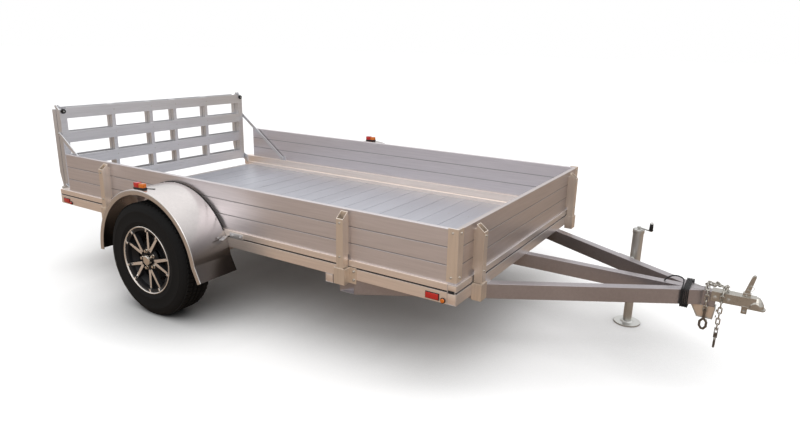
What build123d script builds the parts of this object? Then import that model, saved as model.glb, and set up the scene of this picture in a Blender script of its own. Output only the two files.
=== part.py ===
"""Utility trailer, single axle: an open aluminium box on a three-beam tongue.

Drawn with x = 0 at the axle, +X towards the coupler, +Y to the left and z = 0 on the ground,
in millimetres. Saving moves every piece by -MID_X, so that the origin ends up under the middle
of the whole length. The right side is drawn first and the left side is its mirror image.
"""
from build123d import *
from math import asin, atan2, cos, pi, radians, sin, tan
import os

# ---- driving dimensions -----------------------------------------------------------------
# wheels
TYRE_R = 344.0            # 205/75 R15
TYRE_W = 203.0
RIM_R = 206.0             # over the flange
BEAD_R = 190.5            # 15 inch seat
WHEEL_Y = 1086.0          # tyre centre line from the middle
DISC_OUT = 86.0           # spoke face, outboard of the tyre's centre line
HUB_R = 32.0
HUB_BACK = -40.0          # inboard face of the hub's flange, from the tyre's centre line
FLANGE_R = 60.0
FLANGE_T = 14.0
CAP_OUT = 14.0            # the cap stands this far outboard of the spoke face
SPINDLE_R = 15.0
WHEEL_SIDES = 32
HUB_SIDES = 16
TYRE_T = 9.0
CROWN_T = 13.0
SHOULDER_H = 32.0         # from the sidewall's widest part up to the tread
BARREL_R = 160.0
SPOKE_PAIRS = 5
SPOKE_TURN = -20.0        # the first pair, from straight up
SPOKE_LEAN = 14.0         # a leg against the middle of its pair, at the barrel
SPOKE_W = 14.0
SPOKE_D = 26.0
SPOKE_IN_R = 62.0

# box
RAIL_OUT_Y = 924.0        # outer face of a side rail
RAIL_W = 50.0
RAIL_BOTTOM = 441.0
RAIL_H = 101.0
RAIL_REAR_X = -1292.0
RAIL_FRONT_X = 1892.0     # front face of the front rail
TUBE_T = 4.0              # wall of every rail and beam
SLOT_Z = 504.0            # centre line of the rails' T slot
SLOT_H = 9.0
SLOT_D = 7.0
FLOOR_T = 20.0
FLOOR_TOP = 461.0
PLANK_PITCH = 152.0       # floor planks lie across the bed
SILL_W = 40.0
SILL_REAR_X = -1246.0
WALL_INSET = 10.0         # the rail stands this far outside the wall
WALL_T = 25.0
WALL_H = 260.0
WALL_PLANKS = 3
WALL_REAR_X = -1188.0
SEAM = 4.0                # groove between two wall planks
SEAM_D = 2.0
CORNER_LEG = 50.0
CORNER_T = 4.0
CLEAT_H = 24.0            # strip that closes the floor against the rail
CLEAT_T = 10.0

# tongue
BEAM_W = 50.0
BEAM_H = 80.0
BEAM_ANGLE = 30.8         # side beam against the centre beam
BEAM_MEET_X = 2871.0      # where a side beam's outer face would reach the middle
CENTRE_REAR_X = 1180.0
CENTRE_FRONT_X = 2888.0
CROSS_H = 50.0
CROSS_W = 50.0

# gate, in two leaves that fold flat together
GATE_FOLD_X = -1334.0     # the plane where the two leaves meet
GATE_HINGE_Z = 545.0
FOLD_Z = 1117.0
GATE_GAP = 12.0           # between a gate post and the rail beside it
GATE_POST_W = 48.0
LEAF_T = 44.0             # thickness of one leaf
LEAF_GAP = 6.0            # between the folded leaves
LEAF_BOTTOM = 515.0
LEAF_BELOW_FOLD = 5.0     # top slat, below the fold pin's centre
POST_BELOW_EAR = 6.0
BEVEL_H = 131.0           # the folded leaf's free end is cut back this far up
SLATS = 4
SLAT_H = 76.0
SLAT_ABOVE_END = 3.0
GATE_BAR_W = 30.0
EAR_R = 13.0
EAR_T = 10.0
EAR_GAP = 6.0
FOLD_PIN_R = 7.0
SLAT_T = 14.0
BUMPER_R = 14.0
BUMPER_T = 14.0
GATE_PIN_R = 9.0
HINGE_R = 22.0            # round the hinge pin
PIN_PLAY = 0.3
ROD_SIDES = 16

# fenders
FENDER_GAP = 90.0         # tread to arch
FENDER_DROP = 10.0        # centre of the arch below the axle
FENDER_T = 3.0
FENDER_OUT_Y = 1190.0
FENDER_LIP = 32.0
SKIRT_RISE = 16.0         # the front skirt starts this far above the arch's centre
SKIRT_DROP = 26.0         # and ends this far below it
SKIRT_REACH = 48.0        # forward of the arch
BRACE_X = 432.0           # strap on the rail, in front of the fender
BRACE_L = 105.0
BRACE_H = 33.0
BRACE_T = 4.0
BRACE_Z = 500.0
BRACE_OUT = 80.0

# axle
AXLE_X = 128.0            # torsion tube, ahead of the spindle
AXLE_SIDE = 64.0
AXLE_DROP = 34.0          # from a rail's underside to the top of the torsion tube
ARM_T = 18.0
ARM_Y = 958.0             # middle of a trailing arm

# coupler and jack
COUPLER_REAR_X = 2866.0
COUPLER_TIP_X = 3107.0
COUPLER_T = 5.0
COUPLER_LOW = 395.0
FIT = 0.2                 # a sleeve over a beam
BALL_X = 3062.0
BALL_R = 25.4             # 2 inch ball
LEVER_TOP = 556.0
JACK_ALONG_X = 2380.0     # where the jack's bracket sits on the left beam
JACK_OFFSET = 84.0        # jack centre from the beam's outer face
JACK_R = 30.0
JACK_T = 3.5
JACK_TOP = 590.0
JACK_BOTTOM = 262.0
LEG_R = 24.5
LEG_TOP = 322.0
FOOT_R = 76.0
FOOT_T = 8.0
JACK_TRAVEL = 240.0
JACK_SIDES = 20
SWIVEL_R = 22.0

# ---- worked out -------------------------------------------------------------------------
RAIL_TOP = RAIL_BOTTOM + RAIL_H
RAIL_IN_Y = RAIL_OUT_Y - RAIL_W
WALL_OUT_Y = RAIL_OUT_Y - WALL_INSET
WALL_IN_Y = WALL_OUT_Y - WALL_T
WALL_TOP = RAIL_TOP + WALL_H
WALL_FRONT_X = RAIL_FRONT_X - WALL_INSET
BEAM_BOTTOM = RAIL_BOTTOM - BEAM_H
FLOOR_BOTTOM = FLOOR_TOP - FLOOR_T
FLOOR_HALF_Y = RAIL_IN_Y - CLEAT_T
GATE_HALF_Y = RAIL_IN_Y - GATE_GAP
GATE_REAR_X = GATE_FOLD_X - LEAF_GAP / 2 - LEAF_T
LEAF_TOP = FOLD_Z - LEAF_BELOW_FOLD
POST_TOP = FOLD_Z - EAR_R - POST_BELOW_EAR
GATE_HINGE_X = GATE_FOLD_X + LEAF_GAP / 2 + LEAF_T / 2
RIM_SEAT_R = BEAD_R - 6
SEAT_R = RIM_SEAT_R + 0.2
COUPLER_TOP = RAIL_BOTTOM + FIT + COUPLER_T
COUPLER_HALF = BEAM_W / 2 + FIT + COUPLER_T
MID_X = (GATE_REAR_X + COUPLER_TIP_X) / 2
BEAM_SLOPE = tan(radians(BEAM_ANGLE))
FENDER_R = TYRE_R + FENDER_GAP
FENDER_Z = TYRE_R - FENDER_DROP


# ---- helpers ----------------------------------------------------------------------------
def block(x, y, z):
    """A box between three pairs of limits."""
    size = [abs(pair[1] - pair[0]) for pair in (x, y, z)]
    middle = [(pair[1] + pair[0]) / 2 for pair in (x, y, z)]
    return Pos(*middle) * Box(*size)


def tube_x(x, y, z, wall):
    """A box tube along X, open at both ends."""
    bore = block((x[0] - 1, x[1] + 1), (y[0] + wall, y[1] - wall), (z[0] + wall, z[1] - wall))
    return block(x, y, z) - bore


def tube_y(x, y, z, wall):
    """A box tube along Y, open at both ends."""
    bore = block((x[0] + wall, x[1] - wall), (y[0] - 1, y[1] + 1), (z[0] + wall, z[1] - wall))
    return block(x, y, z) - bore


def tube_z(x, y, z, wall):
    """A box tube along Z, open at both ends."""
    bore = block((x[0] + wall, x[1] - wall), (y[0] + wall, y[1] - wall), (z[0] - 1, z[1] + 1))
    return block(x, y, z) - bore


def outline(points):
    """A flat face inside a closed ring of points."""
    return Face(Wire.make_polygon([Vector(*point) for point in points], close=True))


def plate_xz(points, y):
    """A flat outline in x and z, given thickness between two limits in y."""
    return Solid.extrude(outline([(px, y[0], pz) for px, pz in points]), Vector(0, y[1] - y[0], 0))


def plate_xy(points, z):
    """A flat outline in x and y, given thickness between two limits in z."""
    return Solid.extrude(outline([(px, py, z[0]) for px, py in points]), Vector(0, 0, z[1] - z[0]))


def plate_yz(points, x):
    """A flat outline in y and z, given thickness between two limits in x."""
    return Solid.extrude(outline([(x[0], py, pz) for py, pz in points]), Vector(x[1] - x[0], 0, 0))


def ringed(points, sides):
    """An outline of (radius, y) points carried round the wheel's axle line in flat facets."""
    reach = max(radius for radius, y in points)
    corner = reach / cos(pi / sides)
    turns = [2 * pi * (number + 0.5) / sides for number in range(sides)]
    ring = [(0, 0, -reach)] + [(corner * sin(turn), 0, -corner * cos(turn)) for turn in turns]
    path = Wire.make_polygon([Vector(*point) for point in ring], close=True)
    return sweep(outline([(0, y, -radius) for radius, y in points]), path=path, transition=Transition.RIGHT)


def stacked(levels, sides):
    """Flat-sided sections of (z, radius) about Z, joined one above another."""
    return loft([Pos(0, 0, z) * RegularPolygon(radius, sides) for z, radius in levels], ruled=True)


def prism_y(x, y, z, radius, sides):
    """A flat-sided bar along Y, between two limits in y."""
    return Pos(x, y[0], z) * Rot(-90, 0, 0) * stacked([(0, radius), (y[1] - y[0], radius)], sides)


def rod_y(x, y, z, radius):
    """A pin or a pin hole along Y, in facets fine enough to turn in one another."""
    return prism_y(x, sorted(y), z, radius, ROD_SIDES)


def bent_wire(points, wire_d, close):
    """Six-sided wire along straight runs in x and y, mitred at their corners."""
    ring = [Vector(*point) for point in points]
    start = (ring[0] + ring[1]) / 2 if close else ring[0]
    path = Wire.make_polygon([start] + ring[1:] + ring[:1] if close else ring, close=close)
    run = ring[1] - ring[0]
    end = Plane(origin=start, x_dir=Vector(0, 0, 1).cross(run), z_dir=run) * RegularPolygon(wire_d / 2, 6)
    return sweep(end, path=path, transition=Transition.RIGHT)


def left_of(shape):
    """The mirror image on the left side."""
    return mirror(shape, Plane.XZ)


def solids_of(*shapes):
    found = []
    for shape in shapes:
        found += list(shape.solids()) if not isinstance(shape, Solid) else [shape]
    return found


def save(name, *shapes):
    """One STEP file for one node, moved so that the origin is under the middle of the length."""
    solids = [Pos(-MID_X, 0, 0) * solid for solid in solids_of(*shapes)]
    export_step(solids[0] if len(solids) == 1 else Compound(children=solids), f"parts/{name}.step")


os.makedirs("parts", exist_ok=True)


# ---- rails: box tubes with a T slot along the outside -----------------------------------
def side_rail():
    rail = tube_x((RAIL_REAR_X, RAIL_FRONT_X - RAIL_W), (-RAIL_OUT_Y, -RAIL_IN_Y), (RAIL_BOTTOM, RAIL_TOP), TUBE_T)
    slot_z = (SLOT_Z - SLOT_H / 2, SLOT_Z + SLOT_H / 2)
    web = block((RAIL_REAR_X, RAIL_FRONT_X - RAIL_W), (-RAIL_OUT_Y, -RAIL_OUT_Y + SLOT_D + TUBE_T),
                (slot_z[0] - TUBE_T, slot_z[1] + TUBE_T))
    slot = block((RAIL_REAR_X - 1, RAIL_FRONT_X), (-RAIL_OUT_Y - 1, -RAIL_OUT_Y + SLOT_D), slot_z)
    return rail + web - slot


def front_rail():
    x = (RAIL_FRONT_X - RAIL_W, RAIL_FRONT_X)
    rail = tube_y(x, (-RAIL_OUT_Y, RAIL_OUT_Y), (RAIL_BOTTOM, RAIL_TOP), TUBE_T)
    slot_z = (SLOT_Z - SLOT_H / 2, SLOT_Z + SLOT_H / 2)
    web = block((RAIL_FRONT_X - SLOT_D - TUBE_T, RAIL_FRONT_X), (-RAIL_OUT_Y, RAIL_OUT_Y),
                (slot_z[0] - TUBE_T, slot_z[1] + TUBE_T))
    slot = block((RAIL_FRONT_X - SLOT_D, RAIL_FRONT_X + 1), (-RAIL_OUT_Y - 1, RAIL_OUT_Y + 1), slot_z)
    return rail + web - slot


def cleat():
    """Strip on the inner face of a side rail, that the floor planks end against."""
    return block((SILL_REAR_X, RAIL_FRONT_X - RAIL_W), (-RAIL_IN_Y, -FLOOR_HALF_Y),
                 (FLOOR_BOTTOM, FLOOR_TOP + CLEAT_H))


rail_right = side_rail() + cleat()
save("side_rail_right", rail_right)
save("side_rail_left", left_of(rail_right))
save("front_rail", front_rail())
save("rear_sill", tube_y((SILL_REAR_X, SILL_REAR_X + SILL_W), (-FLOOR_HALF_Y, FLOOR_HALF_Y),
                         (FLOOR_TOP - CROSS_H, FLOOR_TOP), TUBE_T))


# ---- floor: extruded planks across the bed, on crossmembers and stringers ----------------
def floor_planks():
    start = SILL_REAR_X + SILL_W
    end = RAIL_FRONT_X - RAIL_W
    floor = block((start, end), (-FLOOR_HALF_Y, FLOOR_HALF_Y), (FLOOR_BOTTOM, FLOOR_TOP))
    joints = int((end - start) / PLANK_PITCH)
    for number in range(1, joints + 1):
        x = start + number * PLANK_PITCH
        floor -= block((x - SEAM / 2, x + SEAM / 2), (-RAIL_IN_Y, RAIL_IN_Y), (FLOOR_TOP - SEAM_D, FLOOR_TOP + 1))
    return floor


CROSS_X = (-760.0, 300.0, 1130.0)      # rear face of each crossmember
STRINGER_Y = 430.0
STRINGER_H = 30.0

save("floor_planks", floor_planks())
save("crossmembers", *[tube_y((x, x + CROSS_W), (-RAIL_OUT_Y, RAIL_OUT_Y),
                              (RAIL_BOTTOM - CROSS_H, RAIL_BOTTOM), TUBE_T) for x in CROSS_X])
stringers = []
for rear, front in zip((SILL_REAR_X + SILL_W,) + tuple(x + CROSS_W for x in CROSS_X[:-1]), CROSS_X):
    for side in (-STRINGER_Y, STRINGER_Y):
        stringers.append(tube_x((rear, front), (side - 20, side + 20), (RAIL_BOTTOM - STRINGER_H, RAIL_BOTTOM), TUBE_T))
save("floor_stringers", *stringers)


# ---- walls: three planks high, grooved between the planks --------------------------------
def seam_heights():
    return [RAIL_TOP + WALL_H * number / WALL_PLANKS for number in range(1, WALL_PLANKS)]


def side_wall():
    y = (-WALL_OUT_Y, -WALL_IN_Y)
    wall = block((WALL_REAR_X, WALL_FRONT_X), y, (RAIL_TOP, WALL_TOP))
    for z in seam_heights():
        for face_y in y:
            wall -= block((WALL_REAR_X - 1, WALL_FRONT_X + 1), (face_y - SEAM_D, face_y + SEAM_D),
                          (z - SEAM / 2, z + SEAM / 2))
    return wall


def front_wall():
    x = (WALL_FRONT_X - WALL_T, WALL_FRONT_X)
    wall = block(x, (-WALL_IN_Y, WALL_IN_Y), (RAIL_TOP, WALL_TOP))
    for z in seam_heights():
        for face_x in x:
            wall -= block((face_x - SEAM_D, face_x + SEAM_D), (-WALL_IN_Y - 1, WALL_IN_Y + 1),
                          (z - SEAM / 2, z + SEAM / 2))
    return wall


def corner_post():
    """Angle around the outside of a front corner."""
    z = (RAIL_TOP + 8, WALL_TOP + 6)
    outside = block((WALL_FRONT_X - CORNER_LEG, WALL_FRONT_X + CORNER_T),
                    (-WALL_OUT_Y - CORNER_T, -WALL_OUT_Y + CORNER_LEG), z)
    inside = block((WALL_FRONT_X - CORNER_LEG - 1, WALL_FRONT_X), (-WALL_OUT_Y, -WALL_OUT_Y + CORNER_LEG + 1), z)
    return outside - inside


wall_right = side_wall()
save("side_wall_right", wall_right)
save("side_wall_left", left_of(wall_right))
save("front_wall", front_wall())
save("corner_posts", corner_post(), left_of(corner_post()))

# ---- stakes in pockets, outside the walls ------------------------------------------------
STAKE = 42.0
STAKE_T = 3.0
STAKE_TOP = WALL_TOP - 6
STAKE_LOW = 762.0          # outer edge of the slanted top
STAKE_BOTTOM = 424.0
PACKER_IN = 6.0            # packing strip between a stake and the wall, set in from the stake's sides
PACKER_FOOT = 25.0


def stake(along, across):
    """A square tube with a slanted top, at its middle along the wall and outward from it."""
    z = (STAKE_BOTTOM, STAKE_TOP)
    tube = tube_z((along - STAKE / 2, along + STAKE / 2), (across - STAKE, across), z, STAKE_T)
    slant = plate_yz([(across - STAKE - 1, STAKE_LOW), (across, STAKE_TOP), (across, STAKE_TOP + 5),
                      (across - STAKE - 1, STAKE_TOP + 5)], (along - STAKE, along + STAKE))
    packer = block((along - STAKE / 2 + PACKER_IN, along + STAKE / 2 - PACKER_IN), (across, -WALL_OUT_Y),
                   (RAIL_TOP + PACKER_FOOT, STAKE_TOP - PACKER_FOOT))
    return tube - slant + packer


POCKET_H = 86.0
POCKET_BOTTOM = 420.0
POCKET_W = 66.0
POCKET_T = 4.0
POCKET_FLANGE = 40.0
STAKE_FACE_Y = -RAIL_OUT_Y - POCKET_T       # a side stake's inner face


def pocket(along, across):
    """Folded bracket round a stake, with a flange that is bolted to the rail."""
    z = (POCKET_BOTTOM, POCKET_BOTTOM + POCKET_H)
    x = (along - POCKET_W / 2, along + POCKET_W / 2)
    gap = 1.0
    outer = across - STAKE - gap - POCKET_T
    shell = block(x, (outer, across + POCKET_T), z)
    shell -= block((x[0] + POCKET_T, x[1] - POCKET_T), (outer + POCKET_T, across), (z[0] - 1, z[1] + 1))
    flange = block((x[1] - POCKET_T, x[1] + POCKET_FLANGE), (across, across + POCKET_T), z)
    return shell + flange


def turned_to_front(shape):
    """Moves a piece of the right side onto the front, with its rail face on the front rail."""
    return Pos(RAIL_FRONT_X, 0, 0) * Rot(0, 0, 90) * Pos(0, RAIL_OUT_Y, 0) * shape


SIDE_STAKE_X = (-703.0, 1258.0)
FRONT_STAKE_Y = 730.0

stakes = [stake(x, STAKE_FACE_Y) for x in SIDE_STAKE_X]
stakes += [turned_to_front(stake(side * FRONT_STAKE_Y, STAKE_FACE_Y)) for side in (-1, 1)]
stakes += [left_of(piece) for piece in stakes[:len(SIDE_STAKE_X)]]
save("wall_stakes", *stakes)
pockets = [pocket(x, STAKE_FACE_Y) for x in SIDE_STAKE_X]
pockets += [turned_to_front(pocket(side * FRONT_STAKE_Y, STAKE_FACE_Y)) for side in (-1, 1)]
pockets += [left_of(piece) for piece in pockets[:len(SIDE_STAKE_X)]]
save("stake_pockets", *pockets)


# ---- tongue: a centre beam and two side beams --------------------------------------------
def side_beam():
    """From under the right rail, slanting inwards to the centre beam."""
    length = 2 * BEAM_MEET_X
    z_mid = BEAM_BOTTOM + BEAM_H / 2
    tube = Box(length, BEAM_W, BEAM_H) - Box(length + 2, BEAM_W - 2 * TUBE_T, BEAM_H - 2 * TUBE_T)
    tube = Pos(BEAM_MEET_X, 0, z_mid) * Rot(0, 0, BEAM_ANGLE) * Pos(-length / 4, BEAM_W / 2, 0) * tube
    keep = block((0, BEAM_MEET_X), (-RAIL_OUT_Y, -BEAM_W / 2), (BEAM_BOTTOM - 1, RAIL_BOTTOM + 1))
    return tube & keep


beam_right = side_beam()
save("tongue_beam_right", beam_right)
save("tongue_beam_left", left_of(beam_right))
save("tongue_centre_beam", tube_x((CENTRE_REAR_X, CENTRE_FRONT_X), (-BEAM_W / 2, BEAM_W / 2),
                                  (BEAM_BOTTOM, RAIL_BOTTOM), TUBE_T))

NOSE_TOP = BEAM_BOTTOM
NOSE_BOTTOM = 299.0
NOSE_T = 6.0
nose_bend = [(2786, NOSE_TOP), (2786 - 1.5 * NOSE_T, NOSE_TOP), (2814, NOSE_BOTTOM - NOSE_T),
             (2888, NOSE_BOTTOM - NOSE_T), (2896, NOSE_TOP), (2890, NOSE_TOP), (2882, NOSE_BOTTOM),
             (2820, NOSE_BOTTOM)]
save("nose_bracket", plate_xz(nose_bend, (-BEAM_W / 2, BEAM_W / 2)))


# ---- axle: torsion tube, trailing arms and spindles ---------------------------------------
def axle_arm():
    """Trailing arm from the torsion tube back to the spindle, with the spindle on it."""
    y = (-ARM_Y - ARM_T / 2, -ARM_Y + ARM_T / 2)
    front_z = RAIL_BOTTOM - AXLE_DROP - AXLE_SIDE / 2
    arm = plate_xz(arm_outline((0, TYRE_R), (AXLE_X, front_z), 38, 44), y)
    spindle = prism_y(0, (-WHEEL_Y + 6, y[1]), TYRE_R, SPINDLE_R, HUB_SIDES)
    stub = prism_y(AXLE_X, (y[0], -RAIL_OUT_Y + 6), front_z, AXLE_SIDE / 2 - 2, 12)
    return arm + spindle + stub


def arm_outline(rear, front, rear_r, front_r, steps=4):
    """Two round ends joined by straight sides, as points."""
    run = atan2(front[1] - rear[1], front[0] - rear[0])
    points = []
    for centre, radius, start in ((rear, rear_r, run + radians(90)), (front, front_r, run - radians(90))):
        for step in range(steps + 1):
            angle = start + radians(180) * step / steps
            points.append((centre[0] + radius * cos(angle), centre[1] + radius * sin(angle)))
    return points


def axle_bracket():
    """Saddle that hangs the torsion tube under a rail."""
    x = (AXLE_X - AXLE_SIDE / 2 - 8, AXLE_X + AXLE_SIDE / 2 + 8)
    z = (RAIL_BOTTOM - AXLE_DROP - AXLE_SIDE - 8, RAIL_BOTTOM)
    saddle = block(x, (-RAIL_OUT_Y + 8, -RAIL_IN_Y - 8), z)
    hollow = block((x[0] + 8, x[1] - 8), (-RAIL_OUT_Y, -RAIL_IN_Y), (z[0] + 8, z[1] - AXLE_DROP))
    return saddle - hollow


tube_z_range = (RAIL_BOTTOM - AXLE_DROP - AXLE_SIDE, RAIL_BOTTOM - AXLE_DROP)
save("axle_tube", tube_y((AXLE_X - AXLE_SIDE / 2, AXLE_X + AXLE_SIDE / 2), (-RAIL_OUT_Y + 6, RAIL_OUT_Y - 6),
                         tube_z_range, 5))
save("axle_brackets", axle_bracket(), left_of(axle_bracket()))
arm_right = axle_arm()
save("axle_arms", arm_right, left_of(arm_right))


# ---- wheels -------------------------------------------------------------------------------
def tyre():
    """Carcass as a hollow ring, from bead to bead."""
    half = TYRE_W / 2
    wall = (SEAT_R + TYRE_R) / 2
    edge = TYRE_R - SHOULDER_H
    profile = [(SEAT_R, -half + 20), (BEAD_R + 26, -half + 4), (wall, -half), (edge, -half + 5), (TYRE_R, -half + 30),
               (TYRE_R, half - 30), (edge, half - 5), (wall, half), (BEAD_R + 26, half - 4), (SEAT_R, half - 20),
               (SEAT_R, half - 30), (wall, half - TYRE_T), (TYRE_R - CROWN_T, half - 34),
               (TYRE_R - CROWN_T, -half + 34), (wall, -half + TYRE_T), (SEAT_R, -half + 30)]
    return ringed(profile, WHEEL_SIDES)


def rim():
    """Barrel with a twin-spoke face: five V-shaped pairs, with gaps between and inside them."""
    half = TYRE_W / 2
    barrel = [(RIM_SEAT_R, -half + 14), (RIM_R, -half + 8), (RIM_R, -half + 3), (BEAD_R - 12, -half + 8),
              (BARREL_R - 10, -half + 50), (BARREL_R - 10, half - 62), (BEAD_R - 12, half - 34),
              (BEAD_R - 12, half - 14), (RIM_R - 8, half - 2),
              (RIM_R, half - 2), (RIM_R, half - 8), (RIM_SEAT_R, half - 14), (RIM_SEAT_R, half - 38),
              (BARREL_R, half - 66), (BARREL_R, -half + 54), (RIM_SEAT_R, -half + 40)]
    back = DISC_OUT - SPOKE_D
    wheel = ringed(barrel, WHEEL_SIDES)
    wheel += ringed([(HUB_R + 0.4, back), (SPOKE_IN_R + 8, back), (SPOKE_IN_R + 8, DISC_OUT - 14),
                     (HUB_R + 0.4, DISC_OUT - 8)], HUB_SIDES)
    for number in range(SPOKE_PAIRS):
        for lean in (-1, 1):
            wheel += spoke(SPOKE_TURN + number * 360 / SPOKE_PAIRS, lean, back, DISC_OUT)
    return wheel


def spoke(turn, lean, back, face):
    """One leg of a V, from the centre out to the barrel."""
    ring = []
    for radius, angle, half in ((SPOKE_IN_R, SPOKE_LEAN / 3, SPOKE_W * 0.6), (RIM_SEAT_R - 2, SPOKE_LEAN, SPOKE_W / 2)):
        base = radians(turn + angle * lean)
        middle = Vector(radius * sin(base), 0, radius * cos(base))
        side = Vector(cos(base), 0, -sin(base)) * half
        ring += [middle - side, middle + side] if not ring else [middle + side, middle - side]
    return plate_xz([(point.X, point.Z) for point in ring], (back, face))


def hub():
    """Hub on the spindle, with the domed cap in the middle of the wheel."""
    flange = stacked([(HUB_BACK, FLANGE_R), (HUB_BACK + FLANGE_T, FLANGE_R)], HUB_SIDES)
    barrel = stacked([(HUB_BACK + FLANGE_T, HUB_R), (DISC_OUT - 6, HUB_R)], HUB_SIDES)
    cap = stacked([(DISC_OUT - 6, HUB_R - 1), (DISC_OUT + CAP_OUT - 4, HUB_R - 4), (DISC_OUT + CAP_OUT, HUB_R - 12)],
                  HUB_SIDES)
    bore = prism_y(0, (HUB_BACK - 1, DISC_OUT - 10), 0, (SPINDLE_R + 0.5) / cos(pi / HUB_SIDES), HUB_SIDES)
    return Rot(-90, 0, 0) * (flange + barrel + cap) - bore


def on_right_wheel(shape):
    """Turns a wheel piece so that its face looks to the right, and puts it on the spindle."""
    return Pos(0, -WHEEL_Y, TYRE_R) * Rot(0, 0, 180) * shape


def seat_wheel(name, piece):
    right = on_right_wheel(piece)
    save(f"{name}_right", right)
    save(f"{name}_left", left_of(right))


seat_wheel("tyre", tyre())
seat_wheel("rim", rim())
seat_wheel("hub", hub())


# ---- fenders: rolled arches with a lip and a flared front skirt ----------------------------
FENDER_STEPS = 20


def fender_section(depth, skirt_depth):
    """Arch and front skirt as a ring of (x, z) points, this thick under the outer curve."""
    first = asin(SKIRT_RISE / FENDER_R)
    turns = [pi + (first - pi) * step / FENDER_STEPS for step in range(FENDER_STEPS + 1)]
    outer = [(FENDER_R * cos(turn), FENDER_Z + FENDER_R * sin(turn)) for turn in turns]
    inner = [((FENDER_R - depth) * cos(turn), FENDER_Z + (FENDER_R - depth) * sin(turn)) for turn in reversed(turns)]
    tip = (FENDER_R + SKIRT_REACH, FENDER_Z - SKIRT_DROP)
    return outer + [tip, (tip[0] - skirt_depth, tip[1])] + inner


def fender_brace():
    """Strap bolted to the rail, with a tab out over the front of the arch."""
    leg = block((BRACE_X, BRACE_X + BRACE_L), (-RAIL_OUT_Y - BRACE_T, -RAIL_OUT_Y), (BRACE_Z, BRACE_Z + BRACE_H))
    tab_z = BRACE_Z + BRACE_T + BRACE_T
    reach = FENDER_R * cos(asin((tab_z - FENDER_Z) / FENDER_R))
    tab = plate_xy([(BRACE_X, -RAIL_OUT_Y), (BRACE_X + BRACE_H, -RAIL_OUT_Y), (reach + 14, -RAIL_OUT_Y - BRACE_OUT),
                    (reach, -RAIL_OUT_Y - BRACE_OUT), (reach, -RAIL_OUT_Y - BRACE_OUT + BRACE_H)], (tab_z - BRACE_T, tab_z))
    return leg + tab


def fender():
    """Round arch from the rail out to its lip."""
    y = (-FENDER_OUT_Y, -RAIL_OUT_Y)
    sheet = plate_xz(fender_section(FENDER_T, FENDER_T + 1), y)
    lip = plate_xz(fender_section(FENDER_LIP, FENDER_LIP), (y[0], y[0] + FENDER_T))
    return sheet + lip + fender_brace()


fender_right = fender()
save("fender_right", fender_right)
save("fender_left", left_of(fender_right))


# ---- lamps ----------------------------------------------------------------------------------
LAMP_W = 21.0


def lamp_on_fender(angle, length, drop):
    """A strip on the top of the fender, at an angle from straight up, with its foot cut to the arch."""
    strip = Box(length, LAMP_W, LAMP_W + 2)
    place = Pos(0, -FENDER_OUT_Y + 30, FENDER_Z) * Rot(0, angle, 0) * Pos(drop, 0, FENDER_R + LAMP_W / 2 - 1)
    return place * strip - fender_right


REFLECTOR_T = 6.0
REFLECTOR_L = 75.0
REFLECTOR_H = 35.0
REFLECTOR_UP = 8.0        # above the rail's underside
REFLECTOR_IN = 88.0       # behind the front of the rail
REAR_REFLECTOR_IN = 32.0
MARKER_R = 14.0
MARKER_UP = 15.0
MARKER_IN = 68.0
REAR_MARKER_IN = 124.0
LAMP_L = 40.0
TAIL_T = 14.0


def reflector(x):
    z = RAIL_BOTTOM + REFLECTOR_UP
    return block(x, (-RAIL_OUT_Y - REFLECTOR_T, -RAIL_OUT_Y), (z, z + REFLECTOR_H))


def round_marker(x, radius, depth):
    return prism_y(x, (-RAIL_OUT_Y - depth, -RAIL_OUT_Y), RAIL_BOTTOM + MARKER_UP, radius, 16)


red = [reflector((RAIL_FRONT_X - REFLECTOR_IN - REFLECTOR_L, RAIL_FRONT_X - REFLECTOR_IN)),
       reflector((RAIL_REAR_X + REAR_REFLECTOR_IN, RAIL_REAR_X + REAR_REFLECTOR_IN + REFLECTOR_L)),
       lamp_on_fender(-6, LAMP_L, -LAMP_L / 2)]
amber = [lamp_on_fender(-6, LAMP_L, LAMP_L / 2), round_marker(RAIL_FRONT_X - MARKER_IN, MARKER_R, 14)]
black = [round_marker(RAIL_REAR_X + REAR_MARKER_IN, MARKER_R - 2, 12)]
tail = [block((RAIL_REAR_X - TAIL_T, RAIL_REAR_X), (-RAIL_OUT_Y + 6, -RAIL_IN_Y - 6), (RAIL_BOTTOM + 8, RAIL_TOP - 20))]
save("lamps_red", *red, *[left_of(piece) for piece in red], *tail, *[left_of(piece) for piece in tail])
save("lamps_amber", *amber, *[left_of(piece) for piece in amber])
save("marker_lamps_rear", *black, *[left_of(piece) for piece in black])


# ---- gate: two leaves, hinged at the rails and folded at the top ---------------------------
GATE_BAR_Y = (-445.0, -115.0, 115.0, 445.0)
FRONT_LEAF = (GATE_FOLD_X + LEAF_GAP / 2, GATE_FOLD_X + LEAF_GAP / 2 + LEAF_T)
POST_IN_Y = GATE_HALF_Y - GATE_POST_W
SLAT_LOW = LEAF_BOTTOM + SLAT_ABOVE_END
SLAT_STEP = (LEAF_TOP - SLAT_H - SLAT_LOW) / (SLATS - 1)


def gate_ear(sign, y):
    """Plate from the top of a post round the fold pin."""
    turns = [radians(angle) for angle in range(0, 181, 30)]
    ring = [(GATE_FOLD_X + sign * EAR_R * cos(turn), FOLD_Z + EAR_R * sin(turn)) for turn in turns]
    inner = GATE_FOLD_X + sign * LEAF_GAP / 2
    ring += [(inner, FOLD_Z - EAR_R), (inner, POST_TOP - 30), (inner + sign * LEAF_T, POST_TOP - 30),
             (inner + sign * LEAF_T, POST_TOP - 8)]
    return plate_xz(ring, y)


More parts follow.
